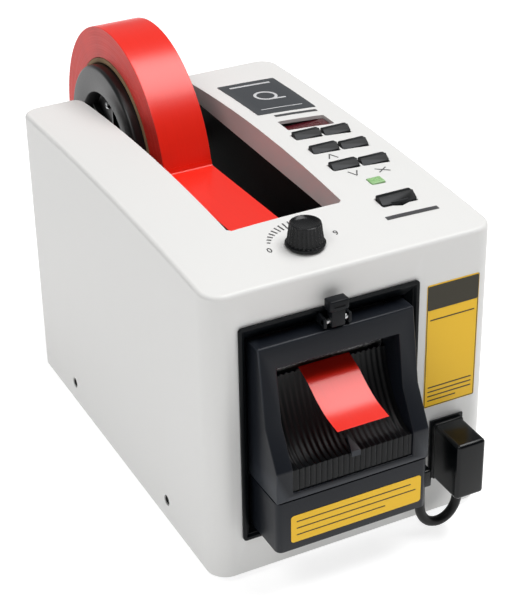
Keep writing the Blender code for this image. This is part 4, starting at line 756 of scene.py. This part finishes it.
rings = [ROLL_BORE + (ROLL_RADIUS - 0.15 - ROLL_BORE) * k / 36 for k in range(37)]
left_side = [(r, -ROLL_HALF + wander(k)) for k, r in enumerate(rings)]
right_side = [(r, ROLL_HALF - wander(k + 5)) for k, r in enumerate(rings)][::-1]
crest = [(ROLL_RADIUS, along) for along in (-ROLL_HALF + 0.2, -5, 0, 5, ROLL_HALF - 0.2)]
winding = turn("tape_winding", left_side + crest + right_side + left_side[:1], spool_middle, steps=160)
settle(winding, tape_film, "spool", ["tape_roll"], 25)
winding.data.materials.append(tape_edge)
for face in winding.data.polygons:
    face.material_index = 1 if abs(face.normal.x) > 0.7 else 0

core_wall = mirrored([(38.1, 10.75), (38.4, 11.05), (39.9, 11.05), (40.15, 10.8)])
core = turn("card_core", core_wall + core_wall[:1], spool_middle, steps=120)
settle(core, core_card, "spool", ["tape_core"])

# %% Hub halves with their dish, boss and ribs
HUB_RADIUS = 37.8
HUB_FACE = 15.5
HUB_ROUND = 1.6
HUB_BORE = 4.4


def hub_half(name, side):
    """One moulded half; side is -1 for the left one."""
    shoulder = arc(HUB_RADIUS - HUB_ROUND, HUB_FACE - HUB_ROUND, HUB_ROUND, 0, 90, 6)
    profile = [(HUB_BORE, 0.15), (HUB_RADIUS, 0.15)] + shoulder + [
        (26.9, HUB_FACE), (26.45, HUB_FACE - 0.15), (26.2, HUB_FACE - 0.6), (25.4, 9.1), (24.8, 8.5),
        (9.6, 8.5), (9.1, 8.9), (8.7, 14.9), (8.2, HUB_FACE), (5.0, HUB_FACE),
        (HUB_BORE, HUB_FACE - 0.6), (HUB_BORE, 0.15)]
    half = turn(name, [(r, side * d) for r, d in profile], spool_middle, steps=120)
    ribs = []
    foot = spool_middle + X * (side * 8.0 * MM)
    for k in range(6):
        angle = math.radians(30 + 60 * k)
        along = Vector((0, math.cos(angle), math.sin(angle))) * MM
        across = Vector((0, -math.sin(angle), math.cos(angle))) * (0.6 * MM)
        corners = [foot + along * reach + across * way
                   for reach, way in ((8.9, -1), (25.6, -1), (25.6, 1), (8.9, 1))]
        ribs.append(prism("hub_rib", corners, (side * 3.2, 0, 0)))
    carve(half, "UNION", join(*ribs))
    return half


for label, side in (("left", -1), ("right", 1)):
    settle(hub_half(f"hub_shell_{label}", side), hub_black, "spool", [f"hub_{label}"], 28)

# %% Screws: a pan head spun on the lathe, then a cross cut into it
HUB_SCREW_SEAT = -19.25
HUB_SCREW_CIRCLE = 19.5
CASE_SCREW_SEAT = 1.5


def screw_head(name, x, y, z, side, radius, height):
    """Pan head whose top faces along x to the given side."""
    profile = [(0, height), (radius * 0.5, height * 0.94), (radius * 0.82, height * 0.72),
               (radius, height * 0.35), (radius, 0), (0, 0)]
    head = turn(name, [(r, side * d) for r, d in profile], at(x, y, z), steps=28)
    near, far = sorted((x + side * height * 0.45, x + side * height * 2))
    for dy, dz in ((0.55, 0.13), (0.13, 0.55)):
        carve(head, "DIFFERENCE", block("slot_tool", (near, y - radius * dy, z - radius * dz),
                                        (far, y + radius * dy, z + radius * dz)))
    return head


for number in (1, 2, 3):
    angle = math.radians(60 + 120 * (number - 1))
    head = screw_head(f"hub_screw_head_{number}", HUB_SCREW_SEAT,
                      SPOOL[0] + HUB_SCREW_CIRCLE * math.cos(angle),
                      SPOOL[1] + HUB_SCREW_CIRCLE * math.sin(angle), -1, 1.9, 1.4)
    settle(head, steel_turned, "spool", [f"hub_screw_{number}"])
for end, y in SIDE_SCREWS.items():
    for label, side, wall in (("left", -1, CASE_LEFT), ("right", 1, CASE_RIGHT)):
        head = screw_head(f"side_screw_{end}_{label}", wall - side * CASE_SCREW_SEAT, y, SIDE_SCREW_HEIGHT,
                          side, 2.2, 1.6)
        settle(head, screw_dark, "machine", [f"case_screw_{end}_{label}"])

# %% Axle: a bar with chamfered ends and a groove at each side of the hub
AXLE_PROFILE = [(0, -24.1), (3.4, -24.1), (4, -23.5), (4, -18.2), (3.5, -18), (3.5, -17), (4, -16.8),
                (4, 16.8), (3.5, 17), (3.5, 18), (4, 18.2), (4, 28.3), (3.4, 28.9), (0, 28.9)]
axle = turn("spool_bar", AXLE_PROFILE, spool_middle, steps=48)
settle(axle, steel_turned, "machine", ["spool_axle"])

# %% [markdown]
# ## The tape's way
# The film leaves the roll at a peel line, runs flat over the guide roller and down between the pressure and
# drive rollers, and comes out over the chute as a curled strip. A strip is a line in side view, drawn point
# by point and pulled across the tape's width; Solidify then makes it a film with two faces.

# %% Feed strip and outlet strip
TAPE_LEFT = -21.1
TAPE_WIDTH = 21.4
GUIDE, PRESSURE, DRIVE = (34, 112.8), (14.5, 93.85), (14.5, 81.85)
PEEL_END, WEB_END = (116.1, 114.78), (34, 118.25)
OUTLET_WAY = [(2.7, 86.8), (-4, 84.4), (-7, 82.7), (-12, 79.9), (-18.6, 77.3), (-26.8, 76)]


def film(name, side_view, thickness=0.12):
    """A strip of film along a line of (y, z) points."""
    strip = draw(name, [at(TAPE_LEFT + 0.1, y, z) for y, z in side_view])
    edit(strip)
    pull(TAPE_WIDTH - 0.2, 0, 0)
    slice_at(X, -16, -10.4, -5)
    leave()
    apply(strip, "SOLIDIFY", thickness=thickness * MM, offset=0)
    close_up(strip)
    return strip


peel = arc(*SPOOL, ROLL_RADIUS + 0.16, 166.6, 168.4, 3)
peel += [(117.22, 115.1), (117.0, 114.86), (116.65, 114.78), PEEL_END]
web = [tuple(a + (b - a) * k / 10 for a, b in zip(PEEL_END, WEB_END)) for k in range(1, 10)]
over_rollers = arc(*GUIDE, 5.45, 90, 157.6, 7) + arc(*PRESSURE, 5.35, -22.4, -90, 7)
feed_film = film("feed_film", peel + web + over_rollers + [(9, 88.2), (5.3, 87.6)])
settle(feed_film, tape_film, "machine", ["feed_strip"], 40)
outlet_film = film("outlet_film", smooth_through(OUTLET_WAY, 5))
settle(outlet_film, tape_film, "machine", ["outlet_strip"], 40)

# %% Rollers: guide, pressure, and the drive roller with its row of rubber rings
ROLLERS = (
    ("guide_tube", "guide", at(-8, *GUIDE), steel_turned, "plated_steel",
     [(0, 23.9), (2.2, 23.9), (2.4, 23.7), (4.6, 23.7), (5, 23.3)]),
    ("pressure_tube", "pressure", at(-9.5, *PRESSURE), rubber_black, "black_rubber",
     [(0, 24.4), (2, 24.4), (2, 22.4), (4.5, 22.4), (4.9, 22)]),
    ("drive_core", "drive", at(-9.5, *DRIVE), steel_turned, "plated_steel",
     [(0, 24.6), (4.4, 24.6), (4.7, 24.3)]))
for name, body, middle, look, slot, half in ROLLERS:
    settle(turn(name, mirrored(half), middle, steps=48), look, body, [f"{body}_roller"])
RING_PITCH = 3.1
RING_COUNT = 16
ring_profile = [(radius, along - (RING_COUNT - 1) / 2 * RING_PITCH)
                for radius, along in arc(5.1, 0, 1.1, 0, 360, 12)]
drive_rings = turn("drive_rings", ring_profile, at(-9.5, *DRIVE), steps=40)
apply(drive_rings, "ARRAY", count=RING_COUNT, use_relative_offset=False, use_constant_offset=True,
      constant_offset_displace=(RING_PITCH * MM, 0, 0))
settle(drive_rings, rubber_brown, "drive", ["drive_roller"])

# %% [markdown]
# ## Bezel and cutter unit
# A black bezel frames the opening in the case, with inner faces that slope back. The cutter unit stands in
# it: two cheeks and a bar in one moulding, a ribbed chute between the cheeks, and a nose cover below a
# parting line. The bezel is one face inset, pushed back and squeezed; the cutter is a side outline pulled
# across and cut out.

# %% Bezel: a face inset, pushed back, and given a back
BEZEL_LOW = (-46.5, 18.8)
BEZEL_HIGH = (27.7, 111.8)
BEZEL_MIDDLE = at((BEZEL_LOW[0] + BEZEL_HIGH[0]) / 2, 0, (BEZEL_LOW[1] + BEZEL_HIGH[1]) / 2)
BEZEL_SQUEEZE = (65.2 / 71.6, 1, 82.3 / 90.4)
bezel = rounded("bezel_frame", (BEZEL_LOW[0], -1.2, BEZEL_LOW[1]), (BEZEL_HIGH[0], -0.25, BEZEL_HIGH[1]),
                1.4, Y, 4)
edit(bezel)
pick(bezel, "FACE", lambda place, face: face.normal.y > 0.9)
bpy.ops.mesh.inset(thickness=2.4 * MM)
pull(0, 3.35, 0)
bpy.ops.mesh.delete(type="ONLY_FACE")
pick(bezel, "FACE", lambda place, face: face.normal.y < -0.9 and len(face.verts) > 8)
bpy.ops.mesh.inset(thickness=1.3 * MM)
pull(0, 3.6, 0)
bpy.ops.transform.resize(value=BEZEL_SQUEEZE, center_override=BEZEL_MIDDLE)
slide(-0.1, 0, -1.35)
pull(0, 0.7, 0)
bpy.ops.mesh.delete(type="ONLY_FACE")
pick(bezel, "EDGE", lambda place, edge: edge.is_boundary)
bpy.ops.mesh.bridge_edge_loops()
leave()
close_up(bezel)
soften(bezel, 0.35, 3, 30)
lugs = [block("latch_lug", (low, -5.7, 105.4), (low + 1.3, 1.2, 109.5), 0.3) for low in (-14.9, -4.8)]
settle(join(bezel, *lugs), bezel_black, "machine", ["front_bezel"])

# %% Cutter frame: side outline pulled across, channel cut through, window left under the bar
CUTTER_LEFT, CUTTER_RIGHT = -41.5, 22.5
CHEEK_LEFT, CHEEK_RIGHT = -34.7, 15.7
frame_side = [(-5.6, 104.5), (-10.6, 74.3), (-19.2, 59), (-19.2, 45.8), (22, 45.8), (22, 104.5)]
channel_side = [(-40, 48.8), (-40, 95.3), (2.9, 95.3), (2.9, 120), (40, 120), (40, 48.8)]
cutter = beam("cutter_body", frame_side, CUTTER_LEFT, CUTTER_RIGHT)
carve(cutter, "DIFFERENCE", beam("channel_tool", channel_side, CHEEK_LEFT, CHEEK_RIGHT))
soften(cutter, 0.6, 3, 20)
settle(cutter, cutter_charcoal, "machine", ["cutter_frame"])

# %% Chute: a comb of ribs drawn across, then pulled down the curve of the slide
RIB_COUNT = 21
RIB_PITCH = 2.3
RIB_HEIGHT = 0.75
RIB_STEPS = 6
CHUTE_LEFT, CHUTE_RIGHT = -34.4, 15.4
SLIDE_END = 58.1
CHUTE_FOOT = 49.1
FRONT_EDGE = 0.35
comb = [(CHUTE_LEFT, 0)]
for step in range(RIB_COUNT * RIB_STEPS + 1):
    wave = 0.5 - 0.5 * math.cos(2 * math.pi * step / RIB_STEPS)
    comb.append((CHUTE_LEFT + 0.5 + RIB_PITCH * step / RIB_STEPS, RIB_HEIGHT * wave))
comb.append((CHUTE_RIGHT, 0))
slide_line = [(2.4 - 20.7 * t ** 1.25, SLIDE_END + 27.2 * (1 - t) ** 1.9)
              for t in (k / 14 for k in range(15))]
chute = draw("ribbed_chute", [at(x, slide_line[0][0], slide_line[0][1] + rise) for x, rise in comb])
edit(chute)
for (y0, z0), (y1, z1) in zip(slide_line, slide_line[1:]):
    pull(0, y1 - y0, z1 - z0)
for point in bmesh.from_edit_mesh(chute.data).verts:
    if point.select:
        point.co.y -= point.co.z - slide_line[-1][1] * MM
bmesh.update_edit_mesh(chute.data)
pull(0, 0, -FRONT_EDGE)
pull(0, 0, CHUTE_FOOT - SLIDE_END + FRONT_EDGE)
bpy.ops.mesh.select_all(action="SELECT")
bpy.ops.mesh.normals_make_consistent(inside=False)
if sum(face.normal.z for face in bmesh.from_edit_mesh(chute.data).faces) < 0:
    bpy.ops.mesh.flip_normals()
leave()
apply(chute, "SOLIDIFY", thickness=1.0 * MM, offset=-1)
settle(chute, chute_black_shaded, "machine", ["chute_guide"], 50)

# %% Fin in the middle of the chute, and the nose cover below the parting line
fin = prism("chute_fin", [at(-10.9, -19.6, 59.6), at(-7.1, -19.6, 59.6), at(-9.0, -12.2, 62.6)], (0, 0, -2.4))
settle(fin, cutter_charcoal, "machine")
nose = rounded("nose_shell", (CUTTER_LEFT, -19.2, 23.4), (CUTTER_RIGHT, 5, 45.5), 2.5, Z, 6)
carve(nose, "DIFFERENCE", block("nose_tool", (CUTTER_LEFT + 2, -17.2, 25.4), (CUTTER_RIGHT - 2, 30, 60)))
soften(nose, 0.7, 3, 40)
settle(nose, cutter_charcoal, "machine", ["nose_cover"])

# %% Latch: a lever with a thicker head and a groove for the nail
lever = block("latch_block", (-13.2, -7, 112.2), (-5.2, -2.3, 116.4), 0.6)
stem = block("latch_stem", (-12.0, -6.3, 105.4), (-6.4, -2.6, 112.6), 0.4)
grip = block("grip_tool", (-11.4, -8, 113.6), (-7.0, -6.7, 114.4), 0.2)
carve(lever, "UNION", stem)
carve(lever, "DIFFERENCE", grip)
settle(lever, bezel_black, "latch", ["latch_lever"])

# %% Plug and gland of the lead
plug = block("plug_hood", (35.7, -19.6, 20.8), (48.3, -1.4, 45.8), 1.6, 5)
ridge = rounded("plug_ridge", (35.3, -3.0, 20.4), (48.7, -1.5, 46.2), 1.4, Y)
soften(ridge, 0.4, 3)
carve(plug, "UNION", ridge)
settle(plug, plug_black, "machine", ["connector_plug"])
gland = block("gland_block", (22.8, -12, 25.2), (29.3, -5, 33), 0.9, 4)
settle(gland, plug_black, "machine", ["lead_gland"])

# %% [markdown]
# ## Keys, lamp, display and dial
# Each key is a small cap with a flat strip at the back, a ridge, and a front that slopes down. One function
# makes all of them from a rounded block, two bisect lines and two rows of points moved down. The dial is
# spun, then its flutes are pressed in by moving points towards the axis.

# %% Key caps
KEY_RISE = 2.0
LARGE_KEY_RISE = 2.3


def key_cap(name, x, y, width, depth, rise):
    """A cap with a flat back strip, a ridge, and a front that slopes down."""
    top = crown(x, y) + rise
    cap = pad(name, x, y, width, depth, top - 5, top, 0.8, 3)
    edit(cap)
    slice_at(Y, y + depth * 0.06, y + depth * 0.2)
    pick(cap, "VERT", lambda place, point: place.z > top - 0.1 and place.y < y - depth / 2 + 1)
    slide(0, 0, -1.75)
    pick(cap, "VERT", lambda place, point: place.z > top - 0.1 and place.y > y + depth * 0.1)
    slide(0, 0, -0.4)
    leave()
    return cap


for column, x in KEY_COLUMNS.items():
    for row, y in enumerate(KEY_ROWS, 1):
        cap = key_cap(f"cap_{column}_{row}", x, y, *KEY_SIZE, KEY_RISE)
        soften(cap, 0.2, 2, 12)
        settle(cap, key_black, f"{column}_key_{row}", [f"key_{column}_{row}"])
large_cap = key_cap("cap_large", *LARGE_KEY, LARGE_KEY_RISE)
key_top = crown(*LARGE_KEY[:2]) + LARGE_KEY_RISE
carve(large_cap, "UNION", thumb_shape("thumb_lip", 3.6, 3.25, 4.5, key_top - 2.2, 0.9))
soften(large_cap, 0.3, 3, 12)
settle(large_cap, key_black, "large_key", ["key_large"])

# %% Lamp lens, display window and its unlit figures
lens_top = crown(*LENS[:2]) + 0.5
lens = pad("lens_cap", *LENS, lens_top - 3, lens_top, 0.6)
soften(lens, 0.5, 4, 40)
settle(lens, lens_green, "machine", ["lamp_lens"])
PANE_RISE = 1.6
PANE_HALF = (12, 6.2)
window_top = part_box("display_window")[1].z / MM
pane = block("display_pane", (DISPLAY[0] - PANE_HALF[0], DISPLAY[1] - PANE_HALF[1], window_top - 1.4),
             (DISPLAY[0] + PANE_HALF[0], DISPLAY[1] + PANE_HALF[1], window_top))
edit(pane)
pick(pane, "FACE", lambda place, face: face.normal.z > 0.9)
bpy.ops.mesh.inset(thickness=1.5 * MM)
pull(0, 0, PANE_RISE)
leave()
soften(pane, 0.2, 2)
window_top += PANE_RISE
settle(pane, display_red, "machine", ["display_window"])


def figure_bar(x, y, width, depth):
    """One bar of an unlit figure, a hair above the pane."""
    return block("bar", (x, y, window_top + 0.02), (x + width, y + depth, window_top + 0.08))


FIGURE_PITCH = 4.0
BAR_PITCH = 2.4
BAR = 0.4
figures = []
for digit in range(4):
    left = DISPLAY[0] - 7.6 + FIGURE_PITCH * digit
    for row in range(3):
        figures.append(figure_bar(left + BAR, DISPLAY[1] - 2.6 + BAR_PITCH * row, BAR_PITCH - BAR, BAR))
    for post in range(4):
        figures.append(figure_bar(left + BAR_PITCH * (post % 2), DISPLAY[1] - 2.2 + BAR_PITCH * (post // 2),
                                  BAR, BAR_PITCH - BAR))
settle(join(*figures), figure_red, "machine")

# %% Dial: spun, then fluted
DIAL_FLUTES = 26
DIAL_PROFILE = [(0, 7.6), (3.4, 7.65), (4.4, 7.9), (4.9, 8.3), (5.25, 8.5), (5.6, 8.5), (5.85, 8.3),
                (6.0, 7.9), (6.2, 6.4), (6.4, 4.8), (6.6, 3.2), (6.8, 1.6), (6.95, 0.8), (7.45, 0.6),
                (7.6, 0.35), (7.6, 0.0), (3.4, 0.0), (3.4, 5.7), (0, 5.7)]
dial_foot = at(*DIAL, crown(*DIAL) + 0.8)
dial = turn("dial_cap", DIAL_PROFILE, dial_foot, Z, Y, DIAL_FLUTES * 8)
for point in dial.data.vertices:
    height = (point.co.z - dial_foot.z) / MM
    away = Vector((point.co.x - dial_foot.x, point.co.y - dial_foot.y))
    if 0.7 < height < 8.1 and away.length > 5.8 * MM:
        wave = 0.5 - 0.5 * math.cos(DIAL_FLUTES * math.atan2(away.y, away.x))
        inwards = 1 - 0.055 * wave ** 0.6
        point.co.x = dial_foot.x + away.x * inwards
        point.co.y = dial_foot.y + away.y * inwards
settle(dial, dial_black, "dial", ["dial_knob"], 28)

# %% [markdown]
# ## Labels and prints
# Plates and prints are thin films laid on the case. The top is crowned, so a flat shape is drawn above it,
# sliced or drawn in short steps, and each of its points is set just above the crown; Solidify gives it a hair
# of thickness. The front labels lie on flat faces, so they are thin rounded blocks.

# %% Laying a film on the crowned top
DRAWN_AT = 140


def lay(piece, above=0.09, thickness=0.06):
    """Set each point of a flat mesh just above the crown and give it thickness."""
    close_up(piece)
    for point in piece.data.vertices:
        place = (point.co - at(0, 0, 0)) / MM
        point.co.z = (crown(place.x, place.y) + above) * MM
    apply(piece, "SOLIDIFY", thickness=thickness * MM, offset=0)
    close_up(piece)
    return piece


def plate(name, x, y, width, depth, corner=0.6):
    """A flat rounded plate, gridded so that it can bend."""
    sheet = pad(name, x, y, width, depth, DRAWN_AT, DRAWN_AT + 1, corner)
    edit(sheet)
    pick(sheet, "FACE", lambda place, face: face.normal.z < 0.9)
    bpy.ops.mesh.delete(type="FACE")
    slice_at(X, *[x - width / 2 + width * k / 6 for k in range(1, 6)])
    slice_at(Y, *[y - depth / 2 + depth * k / 8 for k in range(1, 8)])
    leave()
    return lay(sheet)


def stroke(name, points, width, above=0.09):
    """A printed line of a given width through (x, y) points."""
    bars = []
    for (x0, y0), (x1, y1) in zip(points, points[1:]):
        run = Vector((x1 - x0, y1 - y0)).normalized()
        side = Vector((-run.y, run.x)) * (width / 2)
        corners = [(x0 - side.x, y0 - side.y), (x1 - side.x, y1 - side.y), (x1 + side.x, y1 + side.y),
                   (x0 + side.x, y0 + side.y)]
        bar = draw(name, [at(x, y, DRAWN_AT) for x, y in corners])
        edit(bar)
        bpy.ops.mesh.edge_face_add()
        leave()
        bars.append(bar)
    return lay(join(*bars), above, 0.05)


def printed(piece, look=print_grey):
    """Settle something thin that stands for no CAD node."""
    return settle(piece, look, "machine")


printed(plate("top_plate", 36.6, 139.4, 27.2, 39.4), plate_grey)
printed(plate("row_bar", 38.8, 116.2, 19.7, 2.0, 0.2))
printed(plate("front_bar", 36.7, 20, 22.5, 2.3, 0.2))

# %% Roll sign on the plate: a ring with a straight end, between two lines
ROLL_SIGN = (36.6, 139.6)
SIGN_END = ROLL_SIGN[1] - 4.6
ON_PLATE = 0.16
bpy.ops.object.select_all(action="DESELECT")
bpy.ops.mesh.primitive_circle_add(vertices=48, radius=5.2 * MM, fill_type="NGON",
                                  location=at(*ROLL_SIGN, DRAWN_AT))
roll_sign = bpy.context.object
roll_sign.name = "roll_sign"
bpy.ops.object.transform_apply()
edit(roll_sign)
bpy.ops.mesh.inset(thickness=1.3 * MM)
bpy.ops.mesh.delete(type="ONLY_FACE")
leave()
lay(roll_sign, ON_PLATE, 0.04)
sign_end = stroke("sign_end", [(ROLL_SIGN[0] - 0.4, SIGN_END), (ROLL_SIGN[0] + 7.4, SIGN_END)], 1.2, ON_PLATE)
line_back = stroke("line_back", [(27 + 3.2 * k, 154.6) for k in range(7)], 1.5, ON_PLATE)
line_front = stroke("line_front", [(27 + 3.2 * k, 124.6) for k in range(7)], 0.6, ON_PLATE)
printed(join(roll_sign, sign_end, line_back, line_front), print_pale)

# %% Arrows by the keys and a scale round the dial
for name, points in (("arrow_up", [(28.9, 69.6), (30.9, 73.4), (32.9, 69.6)]),
                     ("arrow_down", [(30.0, 57.0), (32.0, 53.2), (34.0, 57.0)]),
                     ("cut_cross", [(41.2, 55.6), (46.6, 52.6)]),
                     ("cut_cross", [(41.6, 52.4), (46.2, 55.8)])):
    printed(stroke(name, points, 0.5))
ticks = []
for k in range(9):
    angle = math.radians(150 - 8 * k)
    run = Vector((math.cos(angle), math.sin(angle)))
    ends = [(DIAL[0] + run.x * reach, DIAL[1] + run.y * reach) for reach in (12.6 - 0.1 * k, 13.9 + 0.3 * k)]
    ticks.append(stroke("tick", ends, 0.55))
printed(join(*ticks))

# %% Figures at the two ends of the dial's scale


def figure(name, text, x, y, size):
    """A printed figure: text made into a mesh and laid on the top."""
    bpy.ops.object.select_all(action="DESELECT")
    bpy.ops.object.text_add()
    letter = bpy.context.object
    letter.name = name
    letter.data.body = text
    letter.data.size = size * MM
    letter.data.align_x = "CENTER"
    letter.data.align_y = "CENTER"
    bpy.ops.object.convert(target="MESH")
    letter = bpy.context.object
    letter.location = at(x, y, DRAWN_AT)
    bpy.ops.object.transform_apply()
    return lay(letter)


printed(figure("figure_low", "0", -23.6, 19.0, 4.0))
printed(figure("figure_high", "9", 3.6, 19.0, 4.0))

# %% Labels on the front of the case and on the nose
front_label = rounded("front_label", (31.7, -0.14, 53.3), (54.5, -0.03, 107.5), 0.8, Y)
printed(front_label, label_yellow)
lines = [rounded("label_head", (32.2, -0.2, 96.6), (54.0, -0.15, 107.0), 0.5, Y)]
rules = [((33.4, z), (52.8 if z > 57 else 46, z + 0.5)) for z in (92, 62, 60, 58, 56)]
rules += [((31.9, 53.5), (32.2, 107.3)), ((54.0, 53.5), (54.3, 107.3)), ((31.9, 53.5), (54.3, 53.8))]
for low, high in rules:
    lines.append(block("rule", (low[0], -0.2, low[1]), (high[0], -0.15, high[1])))
printed(join(*lines), label_brown)
nose_label = rounded("nose_label", (-35.9, -19.34, 26.7), (19.5, -19.23, 38.7), 1.2, Y)
printed(nose_label, label_yellow)
nose_rules = [block("nose_rule", (-33.6, -19.4, low), (right, -19.35, low + 0.45))
              for low, right in ((35.6, 15.0), (32.6, 17.2), (29.6, 4.0))]
printed(join(*nose_rules), label_brown)

# %% [markdown]
# ## Back and underside
# The back carries a mains socket with a rocker switch, and the case stands on four turned rubber feet. The
# socket's flange is a rounded block with two hollows cut in; the rocker is a side outline pulled across,
# dished in the middle.

# %% Socket, pins and rocker
inlet = rounded("inlet_flange", (27, 184.3, 14), (51, 186, 44), 2, Y)
soften(inlet, 0.4, 2)
carve(inlet, "UNION", block("inlet_body", (29, 166.2, 16), (49, 185, 42)))
carve(inlet, "DIFFERENCE", rounded("socket_tool", (32, 175, 18), (46, 194, 26), 3.6, Y, 6),
      rounded("rocker_tool", (32.1, 178.5, 29.8), (45.9, 194, 40.4), 0.6, Y))
pins = [block("socket_pin", (x - 0.9, 174.8, 20.7), (x + 0.9, 183.5, 23.3), 0.5) for x in (36, 42)]
settle(join(*pins), brass, "machine")
settle(inlet, dial_black, "machine", ["power_inlet"])
ROCKER_MIDDLE = 35.1
rocker_side = [(180.2, 31.2), (185.6, 30.7), (187.4, 30.7), (187.7, 31.2)]
rocker_side += [(186.45 + 0.9 * ((z - ROCKER_MIDDLE) / 4.4) ** 2, z)
                for z in (32, 33, 34, ROCKER_MIDDLE, 36.2, 37.2, 38.2)]
rocker_side += [(187.7, 39.0), (187.4, 39.5), (185.6, 39.5), (180.2, 39.0)]
rocker = beam("rocker_cap", rocker_side, 32.6, 45.4)
soften(rocker, 0.3, 3, 40)
settle(rocker, key_black, "rocker", ["power_rocker"])

# %% Feet
FOOT_PROFILE = [(0, 0), (5.2, 0), (5.4, 0.4), (6.6, 0.4), (6.8, 0), (7.6, 0), (8, 0.5), (8, 1.9), (7.4, 2.7),
                (0, 2.7)]
for end, y in (("front", 16), ("back", 168)):
    for label, x in (("left", -44), ("right", 44)):
        foot = turn(f"foot_pad_{end}_{label}", FOOT_PROFILE, at(x, y, 0), Z, Y, 48)
        settle(foot, rubber_black, "machine", [f"foot_{end}_{label}"])

# %% [markdown]
# ## CAD nodes that stay
# Plates, motors, blades, gears and boards inside keep their CAD shape, which is already right, and only take
# a finish. Their meshes are never touched.

# %% Finishes of the CAD nodes
NODE_LOOKS = {
    "base_plate": steel, "chassis_left": steel, "chassis_right": steel, "tape_well": liner_black,
    "drive_gear": dial_black, "motor_pinion": brass, "feed_motor": steel, "motor_bracket": steel,
    "fixed_blade": steel, "moving_blade": steel, "cutter_crank": steel, "cutter_motor": steel,
    "latch_pin": steel_turned, "connector_socket": plug_black, "control_board": board_green,
    "dial_shaft": steel_turned,
    "dial_potentiometer": steel, "power_supply": board_green}
for name, look in NODE_LOOKS.items():
    nodes[name].data.materials.clear()
    nodes[name].data.materials.append(look)
shown = [name for name, node in nodes.items() if not node.hide_render]
print("CAD nodes still shown:", len(shown), "without a finish:", sorted(set(shown) - set(NODE_LOOKS)))
